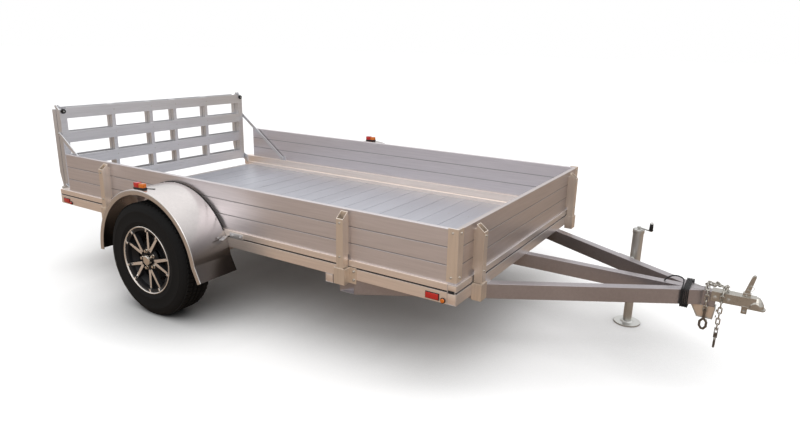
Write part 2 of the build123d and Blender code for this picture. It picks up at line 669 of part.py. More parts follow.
def gate_leaf(sign):
    """One leaf: sign +1 is the front leaf, which the rails carry, and -1 the leaf folded behind it."""
    inner = GATE_FOLD_X + sign * LEAF_GAP / 2
    outer = inner + sign * LEAF_T
    slat_x = sorted((outer, outer - sign * SLAT_T))
    bar_x = sorted((inner, outer - sign * SLAT_T))
    slats = [block(slat_x, (-POST_IN_Y, POST_IN_Y), (SLAT_LOW + number * SLAT_STEP, SLAT_LOW + number * SLAT_STEP + SLAT_H))
             for number in range(SLATS)]
    leaf = slats[0]
    for slat in slats[1:]:
        leaf += slat
    for y in GATE_BAR_Y:
        leaf += block(bar_x, (y - GATE_BAR_W / 2, y + GATE_BAR_W / 2), (SLAT_LOW, LEAF_TOP))
    for side in (-1, 1):
        y = sorted((side * GATE_HALF_Y, side * POST_IN_Y))
        post = block(sorted((inner, outer)), y, (LEAF_BOTTOM, POST_TOP))
        if sign < 0:
            post -= plate_xz([(outer - 1, LEAF_BOTTOM - 1), (inner - 12, LEAF_BOTTOM - 1),
                              (outer - 1, LEAF_BOTTOM + BEVEL_H)], (y[0] - 1, y[1] + 1))
        ear_out = GATE_HALF_Y if sign > 0 else GATE_HALF_Y - EAR_T - EAR_GAP
        leaf += post + gate_ear(sign, sorted((side * ear_out, side * (ear_out - EAR_T))))
    return leaf


gate_lower = gate_leaf(1)
gate_upper = gate_leaf(-1)
for side in (-1, 1):
    pin_y = sorted((side * (POST_IN_Y + 4), side * (GATE_HALF_Y + 14)))
    gate_lower -= rod_y(GATE_HINGE_X, pin_y, GATE_HINGE_Z, GATE_PIN_R + PIN_PLAY)
    ear_y = sorted((side * (GATE_HALF_Y - EAR_T - EAR_GAP + 1), side * (GATE_HALF_Y - 2 * EAR_T - EAR_GAP - 1)))
    gate_upper -= rod_y(GATE_FOLD_X, ear_y, FOLD_Z, FOLD_PIN_R + PIN_PLAY)
    fold_y = sorted((side * (GATE_HALF_Y - 1), side * (GATE_HALF_Y - 2 * EAR_T - EAR_GAP - 4)))
    gate_lower += rod_y(GATE_FOLD_X, fold_y, FOLD_Z, FOLD_PIN_R)
save("gate_lower_leaf", gate_lower)
save("gate_upper_leaf", gate_upper)
bumper = Rot(0, 90, 0) * stacked([(0, BUMPER_R), (BUMPER_T - 3, BUMPER_R), (BUMPER_T, BUMPER_R - 3)], 16)
save("gate_bumpers", *[Pos(FRONT_LEAF[1], side * (GATE_HALF_Y - GATE_POST_W / 2), POST_TOP - BUMPER_R) * bumper
                       for side in (-1, 1)])


def gate_hinge():
    """Ear on the end of the right rail, with the pin that carries the gate."""
    y = (-RAIL_IN_Y, -GATE_HALF_Y - GATE_GAP / 3)
    ear = plate_xz([(RAIL_REAR_X + 40, RAIL_TOP - 70), (RAIL_REAR_X + 40, RAIL_TOP),
                    (GATE_HINGE_X, GATE_HINGE_Z + HINGE_R), (GATE_HINGE_X - HINGE_R, GATE_HINGE_Z + HINGE_R / 2),
                    (GATE_HINGE_X - HINGE_R, GATE_HINGE_Z - HINGE_R)], y)
    return ear + rod_y(GATE_HINGE_X, (-RAIL_IN_Y, -POST_IN_Y - 6), GATE_HINGE_Z, GATE_PIN_R)


save("gate_hinges", gate_hinge(), left_of(gate_hinge()))

# ---- gate struts ----------------------------------------------------------------------------
STRUT_LOW = (-812.0, 562.0)
STRUT_HIGH = (GATE_HINGE_X, 930.0)
STRUT_Y = (-GATE_HALF_Y - 14, -GATE_HALF_Y - 6)
STRUT_R = 12.5
STRUT_PIN_R = 6.0


def strut():
    y = STRUT_Y
    bar = plate_xz(arm_outline(STRUT_HIGH, STRUT_LOW, STRUT_R, STRUT_R), y)
    bar -= rod_y(STRUT_LOW[0], (y[0] - 1, y[1] + 1), STRUT_LOW[1], STRUT_PIN_R + PIN_PLAY)
    return bar + rod_y(STRUT_HIGH[0], (y[0], -GATE_HALF_Y - 2), STRUT_HIGH[1], STRUT_PIN_R + 1)


def strut_bracket():
    """Foot on top of the rail, with the pin that the strut turns on."""
    plate = block((STRUT_LOW[0] - 30, STRUT_LOW[0] + 30), (-WALL_IN_Y, STRUT_Y[0] - 4), (RAIL_TOP, STRUT_LOW[1] + 16))
    return plate + rod_y(STRUT_LOW[0], (-WALL_IN_Y, STRUT_Y[1] + 6), STRUT_LOW[1], STRUT_PIN_R)


save("strut_right", strut())
save("strut_left", left_of(strut()))
save("strut_brackets", strut_bracket(), left_of(strut_bracket()))


# ---- coupler ----------------------------------------------------------------------------------
CLAMP_X = (3004.0, 3030.0)
CLAMP_LOW = 353.0
FLANGE_H = 6.0
BALL_UP = 6.0             # ball centre above the channel's lower edge
BALL_PLAY = 1.0
NECK_X = 2960.0           # the channel narrows from here
NECK_HALF = 26.0
SOCKET_HALF = 32.0
WELD_X = 3030.0           # the socket is welded on here
CAVITY_SIDES = 8


def coupler():
    """Pressed channel over the centre beam, narrowing to the ball at its front."""
    low = COUPLER_LOW
    half = COUPLER_HALF
    plan = [(COUPLER_REAR_X, -half), (NECK_X, -half), (NECK_X + 60, -NECK_HALF), (BALL_X, -SOCKET_HALF),
            (BALL_X, SOCKET_HALF), (NECK_X + 60, NECK_HALF), (NECK_X, half), (COUPLER_REAR_X, half)]
    inside = [(COUPLER_REAR_X - 1, -half + COUPLER_T), (NECK_X - 2, -half + COUPLER_T),
              (NECK_X + 58, -NECK_HALF + COUPLER_T), (WELD_X + 1, -NECK_HALF + COUPLER_T),
              (WELD_X + 1, NECK_HALF - COUPLER_T), (NECK_X + 58, NECK_HALF - COUPLER_T),
              (NECK_X - 2, half - COUPLER_T), (COUPLER_REAR_X - 1, half - COUPLER_T)]
    body = plate_xy(plan, (low, COUPLER_TOP)) - plate_xy(inside, (low - 1, COUPLER_TOP - COUPLER_T))
    body += block(CLAMP_X, (-10, 10), (CLAMP_LOW, low + 1))
    body += block(CLAMP_X, (-half + 1, half - 1), (low - 1, low + 4))
    body -= rod_y(sum(CLAMP_X) / 2, (-11, 11), CLAMP_LOW + 14, 6)
    return body & block((COUPLER_REAR_X, WELD_X), (-half, half), (CLAMP_LOW, COUPLER_TOP))


def ball_socket():
    """Dome over the ball, welded to the front of the channel."""
    low = COUPLER_LOW
    room = BALL_R + BALL_PLAY
    rise = COUPLER_TOP - low
    dome = Pos(BALL_X, 0, low) * stacked([(0, room + 11), (rise / 3, room + 9), (rise * 0.7, room), (rise, room * 0.55)], 16)
    neck = block((WELD_X, BALL_X), (-NECK_HALF, NECK_HALF), (low, COUPLER_TOP))
    flange = Pos(BALL_X, 0, low - FLANGE_H) * stacked([(0, COUPLER_TIP_X - BALL_X), (FLANGE_H, COUPLER_TIP_X - BALL_X)], 24)
    corner = room / cos(pi / CAVITY_SIDES)
    ball_z = low + BALL_UP
    levels = [(low - FLANGE_H - 1, corner), (ball_z + BALL_R * 0.45, corner), (ball_z + BALL_R + 2, corner * 0.45)]
    cavity = Pos(BALL_X, 0, 0) * Rot(0, 0, 180 / CAVITY_SIDES) * stacked(levels, CAVITY_SIDES)
    front = block((WELD_X, COUPLER_TIP_X), (-COUPLER_HALF, COUPLER_HALF), (low - FLANGE_H, COUPLER_TOP))
    return (dome + neck + flange - cavity) & front


def latch():
    """Forked lever on top of the coupler."""
    base = block((3000, 3036), (-14, 14), (COUPLER_TOP, COUPLER_TOP + 16))
    lever = plate_xz([(3004, COUPLER_TOP + 10), (3028, COUPLER_TOP + 10), (3046, LEVER_TOP - 4), (3036, LEVER_TOP),
                      (3028, LEVER_TOP - 8)], (-12, 12))
    gap = block((3000, 3060), (-7, 7), (COUPLER_TOP + 30, LEVER_TOP - 22))
    return base + lever - gap


save("coupler", coupler())
save("coupler_socket", ball_socket())
save("coupler_latch", latch())

# ---- safety chains ---------------------------------------------------------------------------
LINK_WIRE = 6.5
LINK_PITCH = 30.0         # inside length of a link
LINK_INSIDE_W = 10.0
LINK_PLAY = 0.4


def chain_link():
    """One link along X, bent from six-sided wire round two half circles of three facets each."""
    mid_w = (LINK_INSIDE_W + LINK_WIRE) / 2
    straight = LINK_PITCH + LINK_WIRE - 2 * mid_w
    reach = mid_w / sin(radians(60))
    ring = [(side * (straight / 2 + reach * sin(radians(turn))), -side * mid_w * cos(radians(turn)), 0)
            for side in (1, -1) for turn in range(0, 181, 60)]
    return bent_wire(ring[-1:] + ring[:-1], LINK_WIRE, True)


LINK = chain_link()
PIN_R = 3.0               # of an anchor or a hook


def chain(points):
    """Places of the links along a route, each turned a quarter against the last."""
    route = [Vector(*point) for point in points]
    lengths = [(b - a).length for a, b in zip(route, route[1:])]
    step = LINK_PITCH - LINK_PLAY
    places = []
    for number in range(int(sum(lengths) / step)):
        ends = []
        for along in (number * step, (number + 1) * step):
            for a, b, length in zip(route, route[1:], lengths):
                if along <= length:
                    break
                along -= length
            ends.append(a + (b - a) * (along / length))
        run = ends[1] - ends[0]
        flat = Vector(0, 1, 0) if abs(run.normalized().Z) > 0.7 else Vector(0, 0, 1)
        place = Plane(origin=(ends[0] + ends[1]) / 2, x_dir=run, z_dir=flat.cross(run))
        places.append(place * Rot(90 + 90 * (number % 2), 0, 0))
    return places


HOOK_EYE = 5.0            # half the gap between a hook's cheeks
HOOK_WIRE = 6.0
HOOK_BOW_R = 17.0


def snap_hook(last_link):
    """Clevis and closed hook that hang from a chain's last link, drawn along the link's own X."""
    eye = LINK_PITCH / 2 - PIN_R - 0.2
    pin = Pos(eye, 0, -HOOK_EYE - 4) * stacked([(0, PIN_R), (2 * HOOK_EYE + 8, PIN_R)], 8)
    cheeks = [block((eye - 7, eye + 30), (-6, 6), sorted((side * HOOK_EYE, side * (HOOK_EYE + 4))))
              for side in (-1, 1)]
    shank = block((eye + 22, eye + 46), (-6, 6), (-HOOK_EYE - 4, HOOK_EYE + 4))
    neck = eye + 44
    half = HOOK_BOW_R * 0.9
    bow = [(neck, -4, 0), (neck, 4, 0), (neck + 14, half, 0), (neck + 38, half, 0), (neck + 52, 5, 0), (neck + 52, -5, 0),
           (neck + 38, -half, 0), (neck + 14, -half, 0)]
    return last_link * (pin + cheeks[0] + cheeks[1] + shank + bent_wire(bow, 2 * HOOK_WIRE, True))


def anchor(first_link, from_y):
    """Bolt from the tongue's left side through a chain's first link."""
    middle = (first_link * Pos(PIN_R + 0.2 - LINK_PITCH / 2, 0, 0)).position
    bolt = prism_y(middle.X, (from_y, middle.Y + 9), middle.Z, PIN_R, 8)
    return bolt + prism_y(middle.X, (middle.Y + 6, middle.Y + 11), middle.Z, 9, 6)


CHAIN_NEAR = [(2836, 42, 396), (2838, 44, 442), (2840, 24, 466), (2846, -26, 464), (2850, -47, 444), (2850, -43, 316)]
CHAIN_FAR = [(2934, 50, 408), (2932, 52, 448), (2930, 30, 470), (2922, -30, 468), (2917, -54, 450), (2915, -49, 252)]
near_links = chain(CHAIN_NEAR)
far_links = chain(CHAIN_FAR)
save("safety_chains", *[place * LINK for place in near_links + far_links])
save("chain_hooks", snap_hook(near_links[-1]), snap_hook(far_links[-1]))
save("chain_anchors", anchor(near_links[0], BEAM_W / 2), anchor(far_links[0], COUPLER_HALF))

# ---- wiring cable, wound round the tongue -----------------------------------------------------
CABLE_D = 7.0
COIL_X = (2728.0, 2770.0)
COIL_T = 12.0
COIL_IN_Y = (BEAM_MEET_X - COIL_X[0]) * BEAM_SLOPE + 1      # clears the side beams
CABLE_ROUTE = [(2640, 0, 442), (2660, 0, 470), (2696, 0, 482), (2732, 0, 472), (2749, 0, 454)]


def cable_coil():
    beam = block((COIL_X[0] - 1, COIL_X[1] + 1), (-COIL_IN_Y, COIL_IN_Y),
                 (BEAM_BOTTOM - 0.5, RAIL_BOTTOM + 0.5))
    ring = block(COIL_X, (-COIL_IN_Y - COIL_T, COIL_IN_Y + COIL_T), (BEAM_BOTTOM - COIL_T, RAIL_BOTTOM + COIL_T))
    ring = fillet(ring.edges().filter_by(Axis.X), COIL_T)
    return ring - beam


def cable_run():
    route = [Vector(*point) for point in CABLE_ROUTE]
    radii = []
    for before, here, after in zip(route, route[1:], route[2:]):
        turn = radians((here - before).get_angle(after - here))
        radii.append(0.45 * min((here - before).length, (after - here).length) / tan(turn / 2))
    print("cable radii", [round(radius) for radius in radii])
    path = FilletPolyline(*CABLE_ROUTE, radius=radii)
    start = Plane(origin=CABLE_ROUTE[0], z_dir=route[1] - route[0])
    return sweep(start * RegularPolygon(CABLE_D / 2, 6), path=path)


save("cable_coil", cable_coil())
save("cable_run", cable_run())


# ---- jack on the left beam --------------------------------------------------------------------
def jack_place(offset):
    """A point beside the left beam's outer face, at an offset outward from it."""
    out = Vector(sin(radians(BEAM_ANGLE)), cos(radians(BEAM_ANGLE)), 0)
    foot = Vector(JACK_ALONG_X, (BEAM_MEET_X - JACK_ALONG_X) * BEAM_SLOPE, 0)
    return foot + out * offset


JACK = jack_place(JACK_OFFSET)
BEAM_MID_Z = BEAM_BOTTOM + BEAM_H / 2
jack_frame = Pos(JACK.X, JACK.Y, 0) * Rot(0, 0, -BEAM_ANGLE)      # its +Y points away from the beam

plate = block((-50, 50), (-JACK_OFFSET, -JACK_OFFSET + 8), (BEAM_BOTTOM, RAIL_BOTTOM))
boss = prism_y(0, (-JACK_OFFSET + 8, -JACK_R - 14), BEAM_MID_Z, SWIVEL_R, 16)
save("jack_mount", jack_frame * (plate + boss))

outer = stacked([(JACK_BOTTOM, JACK_R), (JACK_TOP, JACK_R)], JACK_SIDES)
outer -= stacked([(JACK_BOTTOM + 14, JACK_R - JACK_T), (JACK_TOP - 6, JACK_R - JACK_T)], JACK_SIDES)
outer -= stacked([(JACK_BOTTOM - 1, LEG_R + PIN_PLAY), (JACK_TOP - 6, LEG_R + PIN_PLAY)], JACK_SIDES)
swivel = prism_y(0, (-JACK_R - 13.5, -JACK_R + 3), BEAM_MID_Z, SWIVEL_R + 2, 16)
crank = Pos(0, 0, JACK_TOP) * stacked([(0, 8), (14, 8)], 6)
arm = block((-8, 92), (-5, 5), (JACK_TOP + 8, JACK_TOP + 14))
knob = Pos(84, 0, JACK_TOP + 14) * stacked([(0, 8), (8, 9), (40, 10), (48, 7)], 10)
save("jack_tube", jack_frame * (outer + swivel + crank + arm + knob))
leg = stacked([(FOOT_T, LEG_R), (LEG_TOP, LEG_R)], JACK_SIDES)
leg -= stacked([(FOOT_T + 20, LEG_R - JACK_T), (LEG_TOP + 1, LEG_R - JACK_T)], JACK_SIDES)
foot = stacked([(0, FOOT_R), (FOOT_T, FOOT_R)], 24)
save("jack_leg", jack_frame * (leg + foot))
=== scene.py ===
"""Finishes and small parts of the aluminium utility trailer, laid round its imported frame."""
import bpy
import bmesh
from math import cos, hypot, pi, radians, sin
from mathutils import Matrix, Vector


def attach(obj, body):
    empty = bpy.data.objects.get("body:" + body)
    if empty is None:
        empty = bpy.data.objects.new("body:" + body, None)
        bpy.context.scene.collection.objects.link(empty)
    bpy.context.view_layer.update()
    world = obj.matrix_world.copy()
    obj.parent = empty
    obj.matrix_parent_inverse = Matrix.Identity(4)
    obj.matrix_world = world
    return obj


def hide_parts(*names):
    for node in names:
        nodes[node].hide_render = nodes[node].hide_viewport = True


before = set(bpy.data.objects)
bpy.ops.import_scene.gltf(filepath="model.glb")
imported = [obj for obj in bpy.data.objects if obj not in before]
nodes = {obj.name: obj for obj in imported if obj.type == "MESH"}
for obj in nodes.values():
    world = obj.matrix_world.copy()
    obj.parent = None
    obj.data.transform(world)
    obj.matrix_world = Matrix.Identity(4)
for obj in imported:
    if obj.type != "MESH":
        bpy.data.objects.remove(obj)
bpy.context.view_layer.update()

# ---- view: camera, floor and light ---------------------------------------------------------------
# The camera stands ahead and to the right, a little above the walls, with a wide lens. The sky is
# white to the eye and dims towards the horizon for the metal. The floor is white paper to the eye,
# with a painted shadow close to the trailer, and brown ground to the metal above it.
CAMERA_AT = Vector((2.1517, -3.2569, 1.5994))
CAMERA_TURN, CAMERA_RISE, CAMERA_ROLL = radians(31.6), radians(15.6), radians(1.3)
PICTURE_W, FOCAL_PX = 800, 607.8
SENSOR = 36.0
SKY_RISE, SKY_DIM, SKY_BRIGHT = 0.7, 0.62, 1.22
FLOOR_SIZE, GROUND, SHADE_REACH = 90, (0.33, 0.25, 0.19), 0.5
LAMP_AT, LAMP_AIM, LAMP_SIZE, LAMP_POWER = Vector((3.0, -5.0, 5.5)), Vector((0, 0, 0.4)), (5, 4), 120

back = Vector((sin(CAMERA_TURN) * cos(CAMERA_RISE), -cos(CAMERA_TURN) * cos(CAMERA_RISE), sin(CAMERA_RISE)))
level = Vector((0, 0, 1)).cross(back).normalized()
upward = back.cross(level)
side_on = cos(CAMERA_ROLL) * level + sin(CAMERA_ROLL) * upward
up_on = cos(CAMERA_ROLL) * upward - sin(CAMERA_ROLL) * level
optics = bpy.data.cameras.new("camera")
optics.sensor_width = SENSOR
optics.lens = FOCAL_PX / PICTURE_W * SENSOR
optics.clip_end = 200
camera = bpy.data.objects.new("camera", optics)
camera.matrix_world = Matrix((side_on, up_on, back)).transposed().to_4x4()
camera.location = CAMERA_AT
bpy.context.scene.collection.objects.link(camera)
bpy.context.scene.camera = camera
bpy.context.scene.view_settings.view_transform = "Standard"


def span(tree, source, reach, target):
    """Carries a value from one range to another, and stops at its ends."""
    node = tree.nodes.new("ShaderNodeMapRange")
    node.inputs["From Min"].default_value, node.inputs["From Max"].default_value = reach
    node.inputs["To Min"].default_value, node.inputs["To Max"].default_value = target
    tree.links.new(source, node.inputs["Value"])
    return node.outputs[0]


world = bpy.data.worlds.new("studio")
bpy.context.scene.world = world
world.use_nodes = True
sky = world.node_tree.nodes["Background"]
sky.inputs["Color"].default_value = (1, 1, 1, 1)
tree = world.node_tree
rays = tree.nodes.new("ShaderNodeLightPath")
way = tree.nodes.new("ShaderNodeTexCoord")
split = tree.nodes.new("ShaderNodeSeparateXYZ")
tree.links.new(way.outputs["Generated"], split.inputs[0])
strength = tree.nodes.new("ShaderNodeMath")
strength.operation = "MAXIMUM"
tree.links.new(rays.outputs["Is Camera Ray"], strength.inputs[0])
tree.links.new(span(tree, split.outputs["Z"], (0.0, SKY_RISE), (SKY_DIM, SKY_BRIGHT)), strength.inputs[1])
tree.links.new(strength.outputs[0], sky.inputs["Strength"])

floor_mesh = bpy.data.meshes.new("studio_floor")
ground = bmesh.new()
bmesh.ops.create_grid(ground, x_segments=1, y_segments=1, size=FLOOR_SIZE)
ground.to_mesh(floor_mesh)
studio_floor = bpy.data.objects.new("studio_floor", floor_mesh)
bpy.context.scene.collection.objects.link(studio_floor)
paper = bpy.data.materials.new("studio_paper")
paper.use_nodes = True
tree = paper.node_tree
rays = tree.nodes.new("ShaderNodeLightPath")
seen = tree.nodes.new("ShaderNodeBsdfDiffuse")
# Painted shadow: the paper's colour darkens where the trailer stands close above it.
painted_shadow = tree.nodes.new("ShaderNodeAmbientOcclusion")
painted_shadow.inputs["Distance"].default_value = SHADE_REACH
painted_shadow.inputs["Color"].default_value = (1, 1, 1, 1)
tree.links.new(painted_shadow.outputs["Color"], seen.inputs["Color"])
met = tree.nodes.new("ShaderNodeBsdfDiffuse")
met.inputs["Color"].default_value = (*GROUND, 1)
either = tree.nodes.new("ShaderNodeMixShader")
tree.links.new(rays.outputs["Is Camera Ray"], either.inputs[0])
tree.links.new(met.outputs[0], either.inputs[1])
tree.links.new(seen.outputs[0], either.inputs[2])
tree.links.new(either.outputs[0], tree.nodes["Material Output"].inputs["Surface"])
floor_mesh.materials.append(paper)

light = bpy.data.lights.new("lamp_right", "AREA")
light.shape = "RECTANGLE"
light.size, light.size_y = LAMP_SIZE
light.energy = LAMP_POWER
lamp = bpy.data.objects.new("lamp_right", light)
lamp.location = LAMP_AT
lamp.rotation_euler = (LAMP_AIM - LAMP_AT).to_track_quat("-Z", "Y").to_euler()
bpy.context.scene.collection.objects.link(lamp)


# ---- mill aluminium ------------------------------------------------------------------------------
# Every rail, wall, stake and beam is bare extruded aluminium. The dies leave fine lines along the
# length, and handling leaves cloudy patches that are a little duller than the rest.
def noise(tree, where, scale, detail):
    """Cloudy noise over a place, between 0 and 1."""
    node = tree.nodes.new("ShaderNodeTexNoise")
    node.inputs["Scale"].default_value = scale
    node.inputs["Detail"].default_value = detail
    tree.links.new(where, node.inputs["Vector"])
    return node.outputs["Fac"]


def times(tree, one, two):
    """The product of two values."""
    node = tree.nodes.new("ShaderNodeMath")
    node.operation = "MULTIPLY"
    tree.links.new(one, node.inputs[0])
    tree.links.new(two, node.inputs[1])
    return node.outputs[0]


def emboss(tree, shader, source, distance, strength):
    """Raises a shader's surface by a value."""
    node = tree.nodes.new("ShaderNodeBump")
    node.inputs["Distance"].default_value = distance
    node.inputs["Strength"].default_value = strength
    tree.links.new(source, node.inputs["Height"])
    tree.links.new(node.outputs[0], shader.inputs["Normal"])


NOISE_SPREAD = (0.3, 0.7)                           # where most of the noise lies
SEAM_SHADE_LINE, SEAM_SHADE_TONE = (0.02, 0.04), (0.50, 1.0)    # shares of a plank from the seam, and the tones of their painted shade


def metal(name, colour, roughness, streak=(1, 1, 1), patch=0.06, dull=0.05, bump=0.0001, metallic=0.85,
          fine=0.05, seam_shade=None, tone_mask=None):
    """Drawn metal with die lines along the axis whose streak value is smallest.

    Seam shade is the height of the lowest seam, their pitch and the number of planks: each seam is
    darkened to a thin line as painted shade. A tone mask is its lowest and highest height and the
    tone that is left at the lowest: the colour darkens towards the bottom as painted shade.
    """
    finish = bpy.data.materials.new(name)
    finish.use_nodes = True
    tree = finish.node_tree
    shader = tree.nodes["Principled BSDF"]
    shader.inputs["Metallic"].default_value = metallic
    place = tree.nodes.new("ShaderNodeTexCoord")
    split = tree.nodes.new("ShaderNodeSeparateXYZ")
    tree.links.new(place.outputs["Object"], split.inputs[0])
    stretch = tree.nodes.new("ShaderNodeMapping")
    stretch.inputs["Scale"].default_value = streak
    tree.links.new(place.outputs["Object"], stretch.inputs["Vector"])
    lines = noise(tree, stretch.outputs[0], 90, 5)
    clouds = noise(tree, stretch.outputs[0], 3.5, 5)
    tone = span(tree, clouds, NOISE_SPREAD, (1 - patch, 1 + patch))
    shade = times(tree, tone, span(tree, lines, NOISE_SPREAD, (1 - fine, 1 + fine)))
    # Painted shade: a thin dark line at each seam between planks, where its groove lies in shadow.
    if seam_shade:
        lowest, pitch, planks = seam_shade
        wave = tree.nodes.new("ShaderNodeMath")
        wave.operation = "PINGPONG"
        wave.inputs[1].default_value = 0.5
        reach = (lowest + pitch / 2, lowest + pitch * (planks - 0.5))
        tree.links.new(span(tree, split.outputs["Z"], reach, (0.5, planks - 0.5)), wave.inputs[0])
        shade = times(tree, shade, span(tree, wave.outputs[0], SEAM_SHADE_LINE, SEAM_SHADE_TONE))
    # Painted shade: the colour darkens towards the bottom, standing in for the dark ground that low surfaces
    # reflect.
    if tone_mask:
        low, high, least = tone_mask
        low_shade = tree.nodes.new("ShaderNodeMapRange")
        low_shade.interpolation_type = "SMOOTHSTEP"
        low_shade.inputs["From Min"].default_value, low_shade.inputs["From Max"].default_value = low, high
        low_shade.inputs["To Min"].default_value = least
        tree.links.new(split.outputs["Z"], low_shade.inputs["Value"])
        shade = times(tree, shade, low_shade.outputs[0])
    tint = tree.nodes.new("ShaderNodeVectorMath")
    tint.operation = "SCALE"
    tint.inputs[0].default_value = colour
    tree.links.new(shade, tint.inputs["Scale"])
    tree.links.new(tint.outputs[0], shader.inputs["Base Color"])
    rough = span(tree, clouds, (0.0, 1.0), (roughness - dull, roughness + dull))
    tree.links.new(rough, shader.inputs["Roughness"])
    emboss(tree, shader, lines, bump, 0.4)
    return finish


def soften(node, width):
    """Breaks a CAD node's sharp edges, so that they catch the light."""
    join = node.modifiers.new("join", "WELD")
    join.merge_threshold = 0.00001
    edge = node.modifiers.new("edge", "BEVEL")
    edge.width = width
    edge.segments = 2
    edge.limit_method = "ANGLE"
    edge.angle_limit = radians(30)


def dress(finish, *names, width=0.0):
    """Gives CAD nodes one finish, and broken edges where a width is named."""
    for name in names:
        node = nodes[name]
        node.data.materials.clear()
        node.data.materials.append(finish)
        if width:
            soften(node, width)


ALONG_X, ALONG_Y, ALONG_Z = (0.05, 1, 1), (1, 0.05, 1), (1, 1, 0.05)
WALL_SEAM_SHADE = (0.542, 0.0867, 3)
# One mill aluminium is given a different tone on each group of parts as painted light and shade: darker on
# the front wall and the tongue beams, lighter on the rails and posts. The warm tint of the rails and posts
# is a painted reflection of brown ground.
WALL, FRONT, RAIL, FLOOR = (0.69, 0.65, 0.665), (0.56, 0.51, 0.50), (0.93, 0.83, 0.76), (0.56, 0.57, 0.62)
BEAM, POST, GATE = (0.40, 0.37, 0.385), (0.80, 0.71, 0.62), (0.68, 0.68, 0.70)
CROSS = (0.72, 0.68, 0.67)
wall_metal = metal("mill_aluminium_wall", WALL, 0.36, ALONG_X, seam_shade=WALL_SEAM_SHADE)
rail_metal = metal("mill_aluminium_rail", RAIL, 0.34, ALONG_X)
post_metal = metal("mill_aluminium_post", POST, 0.34, ALONG_Z)
gate_metal = metal("gate_aluminium", GATE, 0.40, ALONG_Y)
dress(wall_metal, "side_wall_right", "side_wall_left", width=0.0015)
front_metal = metal("mill_aluminium_front", FRONT, 0.36, ALONG_Y, seam_shade=WALL_SEAM_SHADE)
beam_metal = metal("mill_aluminium_beam", BEAM, 0.34)
cross_metal = metal("mill_aluminium_cross", CROSS, 0.34, ALONG_Y)
dress(front_metal, "front_wall", width=0.0015)
dress(rail_metal, "side_rail_right", "side_rail_left", "floor_stringers", width=0.0015)
dress(beam_metal, "tongue_beam_right", "tongue_beam_left", "tongue_centre_beam", width=0.002)
dress(cross_metal, "front_rail", "rear_sill", "crossmembers", width=0.0015)
dress(metal("mill_aluminium_floor", FLOOR, 0.42, ALONG_Y, fine=0.025), "floor_planks")
dress(post_metal, "corner_posts", "wall_stakes", "stake_pockets", width=0.001)
dress(gate_metal, "gate_lower_leaf", "gate_upper_leaf", "gate_hinges", width=0.0012)
dress(gate_metal, "strut_right", "strut_left", "strut_brackets", width=0.0012)


# ---- tyres ---------------------------------------------------------------------------------------
# Radial trailer tyres of black rubber with a rounded shoulder and a ribbed tread. The carcass is
# turned from its cross-section, and each rib of the tread is a ring of moulded blocks on it.
MID = 0.863
WHEEL_Y, WHEEL_Z = 1.086, 0.344


def at(x, y, z):
    """A point in millimetres from the axle, the middle and the ground."""
    return Vector((x / 1000 - MID, y / 1000, z / 1000))


def piece(name, mesh, finishes, body, slot, *stands_for, sharp=32):
    """Closes a mesh into a piece that moves with a body."""
    bmesh.ops.remove_doubles(mesh, verts=mesh.verts, dist=0.000005)
    bmesh.ops.recalc_face_normals(mesh, faces=mesh.faces)
    data = bpy.data.meshes.new(name)
    mesh.to_mesh(data)
    mesh.free()
    for finish in finishes if isinstance(finishes, (list, tuple)) else [finishes]:
        data.materials.append(finish)
    data.shade_smooth()
    data.set_sharp_from_angle(angle=radians(sharp))
    made = bpy.data.objects.new(name, data)
    bpy.context.scene.collection.objects.link(made)
    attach(made, body)
    if stands_for:
        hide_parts(*stands_for)
    return made


def break_edges(mesh, made, offset, chosen=None, segments=2):
    """Bevels the edges of a new block, or only those that a test chooses."""
    edges = {edge for vert in made["verts"] for edge in vert.link_edges}
    if chosen:
        edges = {edge for edge in edges if chosen(edge)}
    bmesh.ops.bevel(mesh, geom=list(edges), offset=offset, segments=segments, profile=0.5, affect="EDGES",
                    material=-1)


def slab(mesh, middle, size, bevel=0.0, turn=None):
    """A block at a middle in millimetres from the axle, turned if asked, with broken edges."""
    place = Matrix.Translation(at(*middle)) @ (turn or Matrix())
    stretch = Matrix.Diagonal((*[length / 1000 for length in size], 1))
    made = bmesh.ops.create_cube(mesh, size=1, matrix=place @ stretch)
    if bevel:
        break_edges(mesh, made, bevel / 1000)


def bar(mesh, x, y, z, bevel=0.0):
    """A block between three pairs of limits in millimetres."""
    middle = [(pair[0] + pair[1]) / 2 for pair in (x, y, z)]
    slab(mesh, middle, [abs(pair[1] - pair[0]) for pair in (x, y, z)], bevel)


def rod(mesh, start, end, radius, sides=20, bevel=0.0, tip=None):
    """A round or flat-sided bar between two points in metres; its radii are in millimetres."""
    run = end - start
    place = Matrix.Translation((start + end) / 2) @ run.to_track_quat("Z", "Y").to_matrix().to_4x4()
    tip = radius if tip is None else tip
    made = bmesh.ops.create_cone(mesh, cap_ends=True, segments=sides, radius1=radius / 1000,
                                 radius2=tip / 1000, depth=run.length, matrix=place)
    if bevel:
        break_edges(mesh, made, bevel / 1000,
                    lambda edge: any(len(face.verts) > 4 for face in edge.link_faces))


def bolt(mesh, place, out, size=6.0, sides=6):
    """A washer and a hexagon or round head on a face, looking out of it. Sizes are in millimetres."""
    out = Vector(out).normalized()
    rod(mesh, place - out * 0.0005, place + out * size * 0.00025, size * 1.25, 20)
    rod(mesh, place + out * size * 0.0002, place + out * size * 0.00105, size, sides, size * 0.12)


def wheel_middle(side):
    """Where the axle line of one wheel meets the tyre's middle."""
    return Vector((-MID, side * WHEEL_Y, WHEEL_Z))


def lathe(mesh, ring, side, steps=128):
    """A closed outline of (radius, outward) millimetres turned about a wheel's axle line."""
    hub = wheel_middle(side)
    verts = [mesh.verts.new(hub + Vector((0, side * out / 1000, radius / 1000))) for radius, out in ring]
    edges = [mesh.edges.new((a, b)) for a, b in zip(verts, verts[1:] + verts[:1])]
    bmesh.ops.spin(mesh, geom=verts + edges, cent=hub, axis=(0, 1, 0), angle=2 * pi, steps=steps,
                   use_merge=True)


